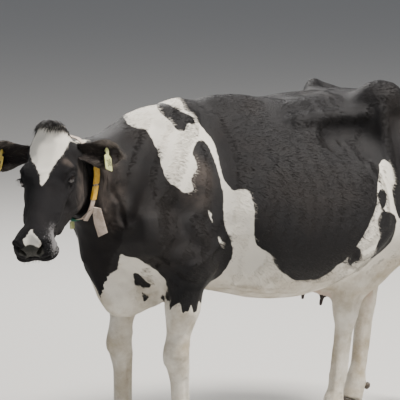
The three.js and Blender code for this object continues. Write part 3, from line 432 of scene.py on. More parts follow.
# body: bones, muscles and folds, in metres; both sides unless said
bodyStrokes = [
    ([(-0.235, 0.10, 1.36), (-0.335, 0.16, 1.24), (-0.43, 0.20, 1.08)], 0.055, 0.007),  # shoulder blade
    ([(-0.170, 0.14, 1.36), (-0.185, 0.22, 1.18), (-0.220, 0.27, 0.98), (-0.250, 0.27, 0.86)], 0.070, -0.010),
    ([(-0.400, 0.10, 1.33), (-0.500, 0.15, 1.18), (-0.560, 0.19, 1.02)], 0.050, -0.009),
    ([(-0.500, 0.22, 0.96), (-0.470, 0.24, 0.90)], 0.080, 0.010),  # point of the shoulder
    ([(-0.440, 0.24, 0.88), (-0.330, 0.26, 0.84), (-0.270, 0.26, 0.80)], 0.060, 0.008),
    ([(-0.460, 0.24, 0.78), (-0.380, 0.26, 0.76), (-0.300, 0.26, 0.74)], 0.032, -0.008),
    ([(-0.330, 0.25, 0.98), (-0.280, 0.26, 0.90)], 0.045, 0.008),
    ([(-0.560, 0.14, 0.80), (-0.500, 0.18, 0.72), (-0.440, 0.18, 0.68)], 0.030, -0.008),
    ([(0.50, 0.225, 1.352), (0.40, 0.215, 1.352), (0.29, 0.213, 1.350), (0.18, 0.195, 1.350)], 0.050, 0.012),
    ([(0.50, 0.24, 1.275), (0.40, 0.23, 1.275), (0.33, 0.24, 1.265)], 0.080, -0.020),  # hollow of the flank
    ([(0.52, 0.25, 1.220), (0.50, 0.27, 1.180)], 0.085, -0.014),
    ([(-0.06, 0.01, 1.42), (0.05, 0.01, 1.42), (0.14, 0.01, 1.41)], 0.110, 0.014),  # back
    ([(0.20, 0.09, 1.400), (0.33, 0.09, 1.405), (0.42, 0.10, 1.410)], 0.090, 0.010),
    ([(-0.45, 0.02, 1.37), (-0.37, 0.02, 1.395)], 0.070, 0.010),
    ([(0.575, 0.262, 1.36), (0.580, 0.285, 1.22), (0.575, 0.310, 1.08)], 0.035, 0.008),
    ([(0.640, 0.24, 1.33), (0.660, 0.27, 1.20), (0.660, 0.28, 1.08)], 0.060, -0.012),
    ([(0.470, 0.33, 1.16), (0.500, 0.34, 1.02), (0.500, 0.34, 0.92)], 0.035, 0.006),
    ([(1.020, 0.13, 1.30), (1.030, 0.12, 1.27)], 0.040, 0.008),  # pin bone
    ([(0.960, 0.17, 1.22), (0.930, 0.21, 1.08), (0.880, 0.23, 0.96)], 0.030, -0.008),
    ([(0.80, 0.25, 1.20), (0.80, 0.27, 1.08), (0.78, 0.27, 0.96)], 0.080, 0.009),
    ([(0.70, 0.27, 1.02), (0.66, 0.28, 0.92)], 0.040, -0.006),
    ([(0.16, 0.24, 0.68), (0.08, 0.26, 0.655), (0.00, 0.25, 0.645), (-0.08, 0.24, 0.650),
      (-0.15, 0.22, 0.665)], 0.010, 0.005),  # milk vein
    ([(0.36, 0.36, 0.82), (0.44, 0.35, 0.84), (0.52, 0.31, 0.90)], 0.035, 0.009),
    ([(0.28, 0.37, 0.78), (0.36, 0.33, 0.74)], 0.030, -0.006),
]
nearHip = [
    ([(0.670, -0.155, 1.430), (0.750, -0.130, 1.420), (0.820, -0.090, 1.410)], 0.115, 0.028),
    ([(0.520, -0.100, 1.445), (0.570, -0.130, 1.460)], 0.075, 0.009),
    ([(0.590, 0.195, 1.435), (0.660, 0.160, 1.425)], 0.070, -0.026),
    ([(0.535, 0.255, 1.445)], 0.065, 0.010),
]
ribs = {"count": 7, "first": -0.06, "step": 0.062, "top": 1.27, "bottom": 0.86, "lean": 0.10, "reach": 0.026,
        "lift": 0.0005}
neckFolds = [
    ([(-0.760, -0.20, 1.28), (-0.735, -0.23, 1.20), (-0.735, -0.22, 1.10)], 0.018, 0.0085),
    ([(-0.722, -0.21, 1.30), (-0.700, -0.24, 1.20), (-0.700, -0.23, 1.08)], 0.016, -0.0102),
    ([(-0.690, -0.20, 1.30), (-0.665, -0.23, 1.20), (-0.670, -0.22, 1.06), (-0.68, -0.18, 0.96)],
     0.020, 0.0085),
    ([(-0.640, -0.19, 1.28), (-0.625, -0.22, 1.16), (-0.640, -0.21, 1.02)], 0.020, -0.0085),
]


def legStrokes(obj):
    mark = lambda path, reach, lift: stroke(obj, path, reach, lift, False)
    for bone in legBones.values():
        side, foot = bone["side"], bone["foot"]
        at = lambda x, out, z: (x + shiftX, side * (foot + out) + shiftY, z)
        fx, fz = bone["fetlock"]
        jx, jz = bone.get("knee") or bone["hock"]
        for out in (-0.034, 0.034):
            mark([at(jx + 0.022, out, jz - 0.10), at(fx + 0.016, out, fz + 0.06)], 0.016, -0.0055)
            mark([at(fx + 0.020, out * 1.2, fz - 0.02)], 0.030, 0.003)
            mark([at(fx - 0.012, out, fz - 0.040)], 0.022, -0.003)
            mark([at(jx + 0.004, out * 1.3, jz + 0.01)], 0.036, 0.004)
        mark([at(fx + 0.062, 0, fz - 0.010)], 0.030, 0.004)
        if "knee" in bone:
            mark([at(jx - 0.06, 0, jz + 0.03), at(jx - 0.06, 0, jz - 0.03)], 0.034, 0.004)
            mark([at(jx - 0.05, 0, jz - 0.085)], 0.026, -0.004)
            mark([at(jx + 0.05, 0, jz + 0.035)], 0.026, 0.006)
            mark([at(jx + 0.01, 0.04, jz + 0.10), at(jx + 0.03, 0.05, jz + 0.22)], 0.022, -0.005)
            mark([at(jx - 0.03, 0.035, jz + 0.12), at(jx - 0.01, 0.06, jz + 0.26)], 0.030, 0.006)
        else:
            mark([at(jx + 0.105, 0, jz + 0.066)], 0.026, 0.006)
            mark([at(jx + 0.045, 0.040, jz + 0.085), at(jx + 0.075, 0.042, jz + 0.16)], 0.022, -0.010)
            mark([at(jx + 0.045, -0.040, jz + 0.085), at(jx + 0.075, -0.04, jz + 0.16)], 0.022, -0.010)
            mark([at(jx - 0.045, 0, jz + 0.01)], 0.030, -0.003)
            mark([at(jx + 0.01, 0.05, jz - 0.03)], 0.024, 0.004)
            mark([at(jx + 0.02, 0.045, jz + 0.17), at(jx + 0.06, 0.07, jz + 0.30)], 0.030, 0.006)


# evens the hip bone on the near side into the loin
hipEase = {"at": (0.560, -0.150, 1.430), "reach": 0.24, "rounds": 60}


def easeHip(obj):
    places = pointsOf(obj)
    away = np.linalg.norm(places - hipEase["at"], axis=1)
    strength = 0.5 * smoothStep(hipEase["reach"], hipEase["reach"] * 0.5, away)
    setPoints(obj, relaxed(places, edgesOf(obj), strength, hipEase["rounds"]))


def shapeBody(obj):
    easeHip(obj)
    for path, reach, lift in bodyStrokes:
        stroke(obj, path, reach, lift)
    for i in range(ribs["count"]):
        x = ribs["first"] + i * ribs["step"]
        half = (ribs["top"] + ribs["bottom"]) / 2
        path = [(x, 0.30, ribs["top"]), (x + ribs["lean"] * 0.3, 0.42, half),
                (x - ribs["lean"] * 0.2, 0.42, ribs["bottom"])]
        stroke(obj, path, ribs["reach"], ribs["lift"])
    for path, reach, lift in nearHip + neckFolds:
        stroke(obj, path, reach, lift, False)
    legStrokes(obj)


def insetSkin(obj):
    places, normals = pointsOf(obj), normalsOf(obj)
    head = toHead(places)
    fine = np.maximum(smoothStep(-0.06, 0.04, head[:, 0]), smoothStep(0.62, 0.45, places[:, 2]))
    depth = skinSize["inset"] + (skinSize["insetFine"] - skinSize["inset"]) * fine
    places -= normals * (depth + skinSize["overlap"])[:, None]
    places[:, 2] = np.maximum(places[:, 2], 0.012)
    setPoints(obj, places)


skin = buildSkin()
refine(skin, lambda at: toHead(at)[:, 0] > 0.0)
insetSkin(skin)
shapeBody(skin)
fromEye = lambda at, node: np.linalg.norm(at - np.array(middle(node)), axis=1)
refine(skin, lambda at: (toHead(at)[:, 0] > 0.43)
       | (fromEye(at, "eye_left") < 0.042) | (fromEye(at, "eye_right") < 0.042))
for path, reach, lift in headStrokes:
    stroke(skin, path, reach, lift, True, True)
for path, reach, lift in midHeadStrokes:
    stroke(skin, path, reach, lift, False, True)
shapeLids(skin)
for path, reach, lift in lidFolds:
    stroke(skin, path, reach, lift, True, True)
thin = skin.modifiers.new("thin", "DECIMATE")
thin.ratio = skinSize["kept"]
applyModifiers(skin)
skin.data.shade_smooth()
print("skin shaped", len(skin.data.polygons), "faces")


# markings: outlines on the body as (x, degrees round from the spine, left side positive)
girth = {"middle": 1.0, "perDegree": 0.0065}
bodyWhite = {
    "saddle": [(-.475, -2), (-.490, 8), (-.470, 16), (-.437, 18), (-.430, 30), (-.432, 54), (-.418, 61),
               (-.391, 64), (-.362, 69), (-.314, 68), (-.322, 59), (-.286, 51), (-.286, 40), (-.261, 33),
               (-.220, 29), (-.195, 33), (-.194, 53), (-.192, 64), (-.188, 78), (-.140, 78), (-.176, 64),
               (-.179, 50), (-.164, 32), (-.175, 24), (-.193, 19), (-.245, 12), (-.236, 3), (-.238, -8),
               (-.258, -24), (-.300, -38), (-.355, -46), (-.402, -38), (-.412, -22), (-.455, -14)],
    "belly": [(-.186, 74), (-.199, 90), (-.191, 100), (-.168, 108), (-.145, 120), (-.163, 130), (-.205, 142),
              (-.240, 154), (-.250, 182), (-.255, 205), (-.205, 228), (-.100, 237), (.020, 231), (.120, 238),
              (.240, 248), (.330, 264), (.300, 286), (.215, 304), (.270, 318), (.400, 314), (.470, 292),
              (.425, 264), (.500, 248), (.640, 240), (.800, 236), (.980, 226), (.980, 126), (.800, 113),
              (.680, 108), (.600, 101), (.575, 92), (.567, 82), (.586, 75), (.570, 65), (.547, 60),
              (.522, 64), (.500, 70), (.469, 80), (.457, 89), (.410, 98), (.303, 117), (.259, 123),
              (.218, 129), (.155, 131), (.101, 130), (.053, 126), (.015, 122), (-.016, 115), (-.062, 111), (-.084, 100),
              (-.086, 86), (-.100, 73), (-.134, 71)],
    "brisket": [(-.645, 176), (-.606, 164), (-.590, 157), (-.576, 146), (-.583, 130), (-.570, 129),
                (-.541, 125), (-.501, 131), (-.434, 139), (-.401, 143), (-.385, 153), (-.370, 182),
                (-.400, 206), (-.480, 216), (-.560, 212), (-.630, 198)],
    "crest": [(-.812, 26), (-.770, 22), (-.715, 15), (-.690, 17), (-.735, 25), (-.780, 30)],
    "sliverUpper": [(-.262, 84), (-.254, 84), (-.243, 94), (-.250, 94)],
    "sliverLower": [(-.221, 106), (-.214, 106), (-.204, 113), (-.210, 113)],
}
bodyBlack = {
    "saddleSpot": [(-.322, -3), (-.300, -3), (-.302, 4), (-.283, 9), (-.264, 13), (-.227, 19), (-.270, 21),
                   (-.291, 25), (-.318, 23), (-.336, 15), (-.352, 7)],
    "brisketSpot": [(-.510, 149), (-.495, 147), (-.475, 150), (-.445, 153), (-.430, 157), (-.455, 158),
                    (-.480, 156), (-.500, 155)],
    "brisketDot": [(-.465, 159), (-.440, 160), (-.425, 162), (-.445, 164)],
    "flankSpot": [(.470, 84), (.485, 80), (.512, 82), (.514, 88), (.495, 92), (.476, 90)],
    "thighSpot": [(.455, 99), (.480, 94), (.540, 95), (.580, 100), (.575, 108), (.560, 116), (.520, 121),
                  (.470, 124), (.440, 116), (.470, 108)],
    "bellySpot": [(.310, 112), (.335, 109), (.370, 113), (.355, 119), (.325, 121)],
    "rightFlankSpot": [(.360, 282), (.400, 276), (.420, 288), (.390, 296)],
}
headWhite = {  # seen square on to the forehead: x to the nose, y to the left
    "blaze": [(-.012, -.040), (.010, -.066), (.050, -.076), (.095, -.060), (.140, -.036), (.200, -.006),
              (.250, .006), (.226, .020), (.184, .030), (.126, .045), (.085, .060), (.040, .072),
              (-.016, .082), (-.024, .056), (-.006, .020), (-.010, -.010)],
    "snip": [(.452, .004), (.472, -.010), (.490, -.022), (.510, -.014), (.512, .012), (.509, .034),
             (.496, .042),
             (.478, .026), (.466, .016)],
}
lipGrey = [(.508, -.030), (.492, .022), (.468, .034), (.400, .020), (.345, -.010), (.340, -.034),
           (.372, -.066),
           (.440, -.080), (.492, -.064)]  # seen from the left: x to the nose, z out of the forehead
sock = {"fore": 0.642, "hind": 0.80, "ragged": 0.028}


def girthPlaces(places):
    around = np.degrees(np.arctan2(-places[:, 1] + shiftY, places[:, 2] - girth["middle"]))
    return np.stack([places[:, 0], around * girth["perDegree"]], axis=1)


def outlineDistance(flat, corners, turn):
    outline = rounded(np.array(corners) * (1, girth["perDegree"]), 3)
    best = insideDistance(flat, outline)
    for shift in (-turn, turn):
        best = np.maximum(best, insideDistance(flat + (0, shift), outline))
    return best


# signed distance to the edge of the white, positive inside it
def whiteness(places):
    flat = girthPlaces(places)
    turn = 360 * girth["perDegree"]
    white = np.full(len(places), -0.5)
    for corners in bodyWhite.values():
        white = np.maximum(white, outlineDistance(flat, corners, turn))
    for corners in bodyBlack.values():
        white = np.minimum(white, -outlineDistance(flat, corners, turn))
    x, y = places[:, 0], places[:, 1]
    wave = np.sin(x * 130) + 0.7 * np.sin(y * 97 + 1) + 0.5 * np.sin(x * 291 + 2)
    fore = sock["fore"] + sock["ragged"] * 0.6 * wave - places[:, 2]
    onLeg = (places[:, 0] < -0.12) & (places[:, 2] < 0.72)
    white = np.where(onLeg, np.maximum(white, np.clip(fore, -0.5, 0.4)), white)
    tail = places[:, 0] > 1.045
    white = np.where(tail, 0.64 - places[:, 2] + 0.02 * wave, white)
    head = toHead(places)
    onHeadToo = smoothStep(-0.075, -0.035, head[:, 0]) > 0.5
    faces = np.full(len(places), -0.5)
    for corners in headWhite.values():
        faces = np.maximum(faces, insideDistance(head[:, :2], rounded(corners, 3)))
    faces = np.where(head[:, 2] > 0.004, faces, -0.3)
    return np.where(onHeadToo & (places[:, 0] < -0.6), faces, white)


def greyness(places):
    head = toHead(places)
    grey = insideDistance(head[:, [0, 2]], rounded(lipGrey, 3))
    return np.where((head[:, 1] > 0.02) & (places[:, 0] < -0.6), grey, -0.3)


# the bare wet nose and the lips: positive inside
def padness(places):
    head = toHead(places)
    way = (head - (0.500, 0, -0.014)) / (0.030, 0.050, 0.030)
    pad = (1 - np.linalg.norm(way, axis=1)) * 0.03
    lips = 0.006 - distanceToPath(head * (1, 0, 1) + np.abs(head * (0, 1, 0)), np.array(headStrokes[4][0]))
    return np.maximum(np.maximum(pad, lips), -0.3)


teatNodes = [node for node in fleshNodes if node.startswith("teat")]


# 1 on the udder, where the skin shows through thin hair, and 2 on the dark teats
def bareness(places):
    x, y, z = places[:, 0], places[:, 1] - shiftY, places[:, 2]
    udder = smoothStep(0.22, 0.30, x) * smoothStep(0.90, 0.86, x) * smoothStep(0.125, 0.095, np.abs(y))
    udder = udder * smoothStep(0.80, 0.72, z - 0.45 * np.maximum(x - 0.55, 0)) * smoothStep(0.42, 0.5, z)
    for node in teatNodes:
        at, top = middle(node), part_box(node)[1].z
        away = np.hypot(places[:, 0] - at.x, places[:, 1] - at.y) + np.maximum(z - top - 0.006, 0) * 2
        udder = np.maximum(udder, 2 * smoothStep(0.040, 0.024, away) * (z < top + 0.03))
    return udder


def dirtiness(places):
    legs = smoothStep(0.62, 0.12, places[:, 2])
    belly = smoothStep(0.84, 0.64, places[:, 2]) * 0.95
    hind = smoothStep(0.35, 0.75, places[:, 0]) * smoothStep(1.15, 0.75, places[:, 2])
    return np.clip(np.maximum(legs * 0.7, belly) + 0.55 * hind, 0, 1)


# painted highlight on black: greyish-brown light behind the jaw, on its edge and over the shoulder
paintedHighlightPatches = [((-0.640, -0.125, 1.13), (0.090, 0.10, 0.22)), ((-0.800, -0.205, 1.13), (0.060, 0.07, 0.15)),
               ((-0.882, -0.256, 1.264), (0.030, 0.03, 0.05)), ((-0.30, -0.20, 1.14), (0.10, 0.2, 0.14))]


def paintedHighlight(places):
    dust = np.zeros(len(places))
    for at, reach in paintedHighlightPatches:
        dust = np.maximum(dust, smoothStep(1.0, 0.35, np.linalg.norm((places - at) / reach, axis=1)))
    return dust


# 1 on the face, whose hair is short and dull
def faceness(places):
    return smoothStep(-0.03, 0.08, toHead(places)[:, 0]) * (places[:, 0] < -0.6)


# what the skin and its tufts carry of the markings, with the mask of painted highlight on the black
markings = {"white": whiteness, "grey": greyness, "bare": bareness, "dirt": dirtiness, "pad": padness,
            "dust": paintedHighlight, "face": faceness}


def markSurface(obj):
    places = pointsOf(obj)
    for name, found in markings.items():
        setValue(obj, name, found(places))


markSurface(skin)
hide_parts(*fleshNodes)
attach(skin, "root")
print("skin marked")


# materials
# short names for the nodes that the materials share
class NodeKit:
    def __init__(self, tree):
        self.tree = tree

    def node(self, kind, **settings):
        made = self.tree.nodes.new(kind)
        inputs = settings.pop("inputs", {})
        for key, value in settings.items():
            setattr(made, key, value)
        for key, value in inputs.items():
            socket = made.inputs[key]
            if isinstance(value, bpy.types.NodeSocket):
                self.tree.links.new(value, socket)
            else:
                socket.default_value = value
        return made

    def math(self, operation, a, b=0.0, c=None, clamp=False):
        made = self.node("ShaderNodeMath", operation=operation, use_clamp=clamp)
        for socket, value in zip(made.inputs, (a, b, c)):
            if isinstance(value, bpy.types.NodeSocket):
                self.tree.links.new(value, socket)
            elif value is not None:
                socket.default_value = value
        return made.outputs[0]

    def step(self, value, low, high):
        made = self.node("ShaderNodeMapRange", interpolation_type="SMOOTHSTEP")
        self.tree.links.new(value, made.inputs["Value"])
        made.inputs["From Min"].default_value = low
        made.inputs["From Max"].default_value = high
        return made.outputs["Result"]

    def mix(self, factor, a, b):
        made = self.node("ShaderNodeMix", data_type="RGBA")
        for socket, value in ((made.inputs[0], factor), (made.inputs[6], a), (made.inputs[7], b)):
            if isinstance(value, bpy.types.NodeSocket):
                self.tree.links.new(value, socket)
            else:
                socket.default_value = value
        return made.outputs[2]

    def noise(self, vector, scale, detail=2.0, roughness=0.5, stretch=None):
        if stretch:
            vector = self.node("ShaderNodeMapping", inputs={"Vector": vector, "Scale": stretch}).outputs[0]
        made = self.node("ShaderNodeTexNoise", inputs={"Vector": vector, "Scale": scale, "Detail": detail,
                                                       "Roughness": roughness})
        return made.outputs["Fac"]

    def feed(self, shader, socket, value):
        self.tree.links.new(value, shader.inputs[socket])

    def relief(self, shader, strength, distance, height):
        bump = self.node("ShaderNodeBump",
                         inputs={"Strength": strength, "Distance": distance, "Height": height})
        self.feed(shader, "Normal", bump.outputs[0])

    def times(self, a, b):
        return self.math("MULTIPLY", a, b)

    def plus(self, a, b):
        return self.math("ADD", a, b)

    def less(self, a, b):
        return self.math("SUBTRACT", a, b)

    def value(self, name):
        return self.node("ShaderNodeAttribute", attribute_name=name).outputs["Fac"]

    def place(self):
        return self.node("ShaderNodeTexCoord").outputs["Object"]


def startMaterial(name):
    material = bpy.data.materials.new(name)
    material.use_nodes = True
    return material, NodeKit(material.node_tree), material.node_tree.nodes["Principled BSDF"]


def newGroup(name, inputs, outputs):
    group = bpy.data.node_groups.new(name, "ShaderNodeTree")
    for label, kind, value in inputs:
        socket = group.interface.new_socket(label, in_out="INPUT", socket_type=kind)
        if value is not None:
            socket.default_value = value
    for label, kind in outputs:
        group.interface.new_socket(label, in_out="OUTPUT", socket_type=kind)
    kit = NodeKit(group)
    return group, kit, kit.node("NodeGroupInput"), kit.node("NodeGroupOutput")


# the greyish-brown colour among these is a painted highlight on the black coat
coatColours = {"black": (0.0032, 0.0029, 0.0040, 1), "blackWorn": (0.0105, 0.0072, 0.0060, 1),
               "white": (0.74, 0.70, 0.62, 1), "whiteDirty": (0.33, 0.26, 0.16, 1),
               "greyHair": (0.16, 0.155, 0.16, 1), "bareSkin": (0.56, 0.40, 0.34, 1),
               "teat": (0.045, 0.036, 0.036, 1),
               "pad": (0.022, 0.021, 0.017, 1), "dust": (0.085, 0.067, 0.057, 1)}


coatInputs = {"White": -1.0, "Grey": -1.0, "Bare": 0.0, "Dirt": 0.0, "Dust": 0.0, "Tone": 0.5,
              "Ragged": 0.010}


# the coat's colours: markings with a ragged edge, dirt, grey hair, bare skin and painted highlight on the black
def buildCoatGroup():
    group, kit, given, result = newGroup(
        "coatPattern",
        [(label, "NodeSocketFloat", value) for label, value in coatInputs.items()]
        + [("Place", "NodeSocketVector", None)],
        [("Color", "NodeSocketColor"), ("Whiteness", "NodeSocketFloat")])
    place, colours = given.outputs["Place"], coatColours
    wobble = kit.times(kit.less(kit.noise(place, 34, 3), 0.5), given.outputs["Ragged"])
    fine = kit.times(kit.less(kit.noise(place, 230, 2), 0.5), 0.006)
    edge = kit.plus(kit.plus(given.outputs["White"], wobble), fine)
    white = kit.step(edge, -0.0018, 0.0018)
    streak = kit.noise(place, 190, 4, 0.7)
    greyEdge = kit.plus(kit.times(given.outputs["Grey"], 7), kit.less(streak, 0.56))
    grey = kit.step(greyEdge, 0.02, 0.16)
    worn = kit.step(kit.noise(place, 3.1, 4, 0.6), 0.42, 0.72)
    black = kit.mix(kit.times(worn, 0.7), colours["black"], colours["blackWorn"])
    black = kit.mix(kit.times(given.outputs["Tone"], 0.22), black, (0.017, 0.0135, 0.013, 1))
    # painted highlight: greyish brown over the black, in patches inside the highlight mask
    highlit = kit.times(given.outputs["Dust"], kit.step(kit.noise(place, 14, 4, 0.6), 0.25, 0.7))
    black = kit.mix(kit.times(highlit, 0.75), black, colours["dust"])
    stain = kit.times(given.outputs["Dirt"], kit.step(kit.noise(place, 9, 5, 0.65), 0.30, 0.75))
    pale = kit.mix(kit.times(stain, 0.85), colours["white"], colours["whiteDirty"])
    speck = kit.step(kit.noise(place, 120, 3, 0.6), 0.63, 0.74)
    pale = kit.mix(kit.times(kit.times(speck, stain), 0.7), pale, (0.10, 0.07, 0.045, 1))
    pale = kit.mix(kit.times(given.outputs["Tone"], 0.16), pale, (0.46, 0.43, 0.38, 1))
    colour = kit.mix(white, black, pale)
    colour = kit.mix(kit.times(grey, kit.less(0.9, white)), colour, colours["greyHair"])
    bare = given.outputs["Bare"]
    colour = kit.mix(kit.times(kit.step(bare, 0.0, 0.9), 0.55), colour, colours["bareSkin"])
    colour = kit.mix(kit.step(bare, 1.2, 1.6), colour, colours["teat"])
    kit.tree.links.new(colour, result.inputs["Color"])
    kit.tree.links.new(white, result.inputs["Whiteness"])
    return group


coatGroup = buildCoatGroup()
coatShine = {"skin": 0.56, "tufts": 0.42, "face": 0.32, "pad": 0.52, "specular": 0.24}


def coatMaterial(name, roughness, sheen, onSkin):
    material, kit, shader = startMaterial(name)
    place = kit.place()
    marks = {label: kit.value(label.lower()) for label in coatInputs if label != "Ragged"}
    pattern = kit.node("ShaderNodeGroup", node_tree=coatGroup,
                       inputs={**marks, "Place": place, "Ragged": 0.016 if onSkin else 0.010})
    colour = pattern.outputs["Color"]
    rough = kit.plus(roughness, kit.times(pattern.outputs["Whiteness"], 0.18))
    rough = kit.plus(rough, kit.times(kit.value("face"), coatShine["face"]))
    if onSkin:
        pad = kit.step(kit.plus(kit.value("pad"), kit.times(
            kit.less(kit.noise(place, 90, 2), 0.5), 0.008)), -0.001, 0.003)
        colour = kit.mix(pad, colour, coatColours["pad"])
        rough = kit.less(rough, kit.times(pad, coatShine["pad"]))
        pebble = kit.node("ShaderNodeTexVoronoi", inputs={"Vector": place, "Scale": 260}).outputs["Distance"]
        hair = kit.noise(place, 620, 3, 0.6, (0.12, 1.0, 1.0))
        height = kit.plus(kit.times(kit.times(hair, 2.2), kit.less(1.0, pad)),
                          kit.times(kit.times(pebble, pad), 1.4))
        wrinkle = kit.noise(place, 60, 4, 0.6)
        height = kit.plus(height, kit.times(wrinkle, 0.6))
        kit.relief(shader, 0.6, 0.0020, height)
    kit.feed(shader, "Base Color", colour)
    kit.feed(shader, "Roughness", rough)
    shader.inputs["Sheen Weight"].default_value = sheen
    shader.inputs["Sheen Roughness"].default_value = 0.45
    shader.inputs["Sheen Tint"].default_value = (0.85, 0.78, 0.72, 1)
    shader.inputs["Specular IOR Level"].default_value = coatShine["specular"]
    return material


setValue(skin, "tone", np.full(len(skin.data.vertices), 0.4))
skinMaterial = coatMaterial("coatOverSkin", coatShine["skin"], 0.015, True)
skin.data.materials.append(skinMaterial)
print("skin painted")


# roots on a surface: where, which way it faces, and its values there
def scatter(obj, count, seed, weightOf):
    mesh = obj.data
    mesh.calc_loop_triangles()
    corners = np.empty(len(mesh.loop_triangles) * 3, np.int32)
    mesh.loop_triangles.foreach_get("vertices", corners)
    corners = corners.reshape(-1, 3)
    places, normals = pointsOf(obj), normalsOf(obj)
    cut = places[corners]
    area = np.linalg.norm(np.cross(cut[:, 1] - cut[:, 0], cut[:, 2] - cut[:, 0]), axis=1)
    weight = np.cumsum(area * weightOf(cut.mean(axis=1)))
    draw = np.random.default_rng(seed)
    pick = np.minimum(np.searchsorted(weight / weight[-1], draw.random(count)), len(weight) - 1)
    share = draw.random((count, 2))
    share = np.where(share.sum(axis=1, keepdims=True) > 1, 1 - share, share)
    share = np.column_stack([1 - share.sum(axis=1), share])
    result = {"draw": draw, "values": {}}
    mixed = lambda values, at: np.einsum("nk,nk...->n...", share, values[at[pick]])
    result["at"] = mixed(places, corners)
    result["normal"] = unit(mixed(normals, corners))
    for name in markings:
        if name in mesh.attributes:
            values = np.empty(len(places), np.float32)
            mesh.attributes[name].data.foreach_get("value", values)
            result["values"][name] = mixed(values, corners)
    if "OFBake" in mesh.uv_layers:
        loops = np.empty(len(corners) * 3, np.int32)
        mesh.loop_triangles.foreach_get("loops", loops)
        flat = np.empty(len(mesh.loops) * 2, np.float32)
        mesh.uv_layers["OFBake"].uv.foreach_get("vector", flat)
        result["uv"] = mixed(flat.reshape(-1, 2), loops.reshape(-1, 3))
    return result


def unit(vectors):
    return vectors / np.maximum(np.linalg.norm(vectors, axis=-1, keepdims=True), 1e-9)


# closed tapering hairs, three-sided: each leaves its root along way and is drawn over by bend
def growHair(name, roots, way, length, width, bend, material, rings=1, flat=0.4, patch=0.0015):
    count = len(roots["at"])
    length, width = np.broadcast_to(length, count)[:, None], np.broadcast_to(width, count)[:, None]
    side = unit(np.cross(way, roots["normal"]))
    up = np.cross(way, side)
    verts = []
    for ring in range(rings):
        t = ring / rings
        middleLine = roots["at"] + way * length * t + bend * length * t * t
        thick = width / 2 * (1 - t) ** 0.7
        for k in range(3):
            turn = 2 * math.pi * k / 3 + math.pi / 2
            verts.append(middleLine + side * thick * math.cos(turn) + up * thick * flat * math.sin(turn))
    verts.append(roots["at"] + way * length + bend * length)
    verts = np.stack(verts, axis=1)
    per = verts.shape[1]
    faces = [(2, 1, 0)]
    for ring in range(rings - 1):
        for k in range(3):
            a, b = ring * 3 + k, ring * 3 + (k + 1) % 3
            faces += [(a, b, b + 3), (a, b + 3, a + 3)]
    faces += [((rings - 1) * 3 + k, (rings - 1) * 3 + (k + 1) % 3, per - 1) for k in range(3)]
    faces = np.array(faces)
    index = (faces[None] + (np.arange(count) * per)[:, None, None]).reshape(-1)
    mesh = bpy.data.meshes.new(name)
    mesh.vertices.add(count * per)
    mesh.vertices.foreach_set("co", verts.reshape(-1).astype(np.float32))
    mesh.loops.add(len(index))
    mesh.loops.foreach_set("vertex_index", index.astype(np.int32))
    mesh.polygons.add(len(index) // 3)
    mesh.polygons.foreach_set("loop_start", np.arange(0, len(index), 3, dtype=np.int32))
    mesh.update(calc_edges=True)
    mesh.shade_smooth()
    obj = bpy.data.objects.new(name, mesh)
    bpy.context.collection.objects.link(obj)
    for value in markings:
        if value in roots["values"]:
            setValue(obj, value, np.repeat(roots["values"][value], per))
    setValue(obj, "tone", np.repeat(roots["tone"] if "tone" in roots else roots["draw"].random(count), per))
    spread = np.stack([np.cos(np.arange(per) * 2.4), np.sin(np.arange(per) * 2.4)], axis=1) * patch
    spread[-1] = 0
    corner = roots["uv"][:, None] + spread[None] if "uv" in roots else np.zeros((count, per, 2)) + spread
    layer = mesh.uv_layers.new(name="OFBake")
    layer.uv.foreach_set("vector", corner.reshape(-1, 2)[index].reshape(-1).astype(np.float32))
    mesh.materials.append(material)
    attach(obj, "root")
    return obj


def unwrapSkin(obj):
    activate(obj)
    bpy.ops.object.mode_set(mode="EDIT")
    bpy.ops.mesh.select_all(action="SELECT")
    bpy.ops.uv.smart_project(angle_limit=math.radians(66), island_margin=0.002)
    bpy.ops.object.mode_set(mode="OBJECT")
    obj.data.uv_layers.active.name = "OFBake"


# which way the coat lies: back and down the body, down the legs, out from a whorl on the forehead
lie = {"body": (0.88, 0.0, -0.47), "belly": (1.0, 0.0, 0.0), "leg": (0.12, 0.0, -1.0),
       "whorl": (0.118, 0, 0.086),
       "cheek": (-0.45, 0.0, -0.9), "wander": 0.07,
       "stray": 0.09}


def lieWay(places, normals, draw):
    x, z = places[:, 0], places[:, 2]
    head = toHead(places)
    body = np.where((normals[:, 2] < -0.5)[:, None], lie["belly"], lie["body"])
    body = body + np.array((0, 0, 0.4)) * smoothStep(0.3, 0.9, normals[:, 2])[:, None]
    legs = smoothStep(0.86, 0.62, z)[:, None] * (np.abs(normals[:, 2]) < 0.7)[:, None]
    way = body * (1 - legs) + np.array(lie["leg"]) * legs
    fromWhorl = unit(head - lie["whorl"])
    cheek = smoothStep(0.02, -0.05, head[:, 2])[:, None]
    onHeadWay = (fromWhorl * (1 - cheek) + np.array(lie["cheek"]) * cheek) @ np.array(headTurn).T
    isHead = (smoothStep(-0.07, -0.01, head[:, 0]) * (x < -0.6))[:, None]
    way = way * (1 - isHead) + onHeadWay * isHead
    drift = (np.sin(x * 23 + 2 * np.sin(z * 17)) + np.sin(z * 31 + places[:, 1] * 19)) * 0.5
    way = unit(way - normals * np.einsum("nk,nk->n", way, normals)[:, None])
    across = np.cross(normals, way)
    turn = (lie["wander"] * drift + draw.normal(0, lie["stray"], len(places)))[:, None]
    return unit(way * np.cos(turn) + across * np.sin(turn))


def isHeadAt(places):
    return (toHead(places)[:, 0] > -0.045) & (places[:, 0] < -0.6)


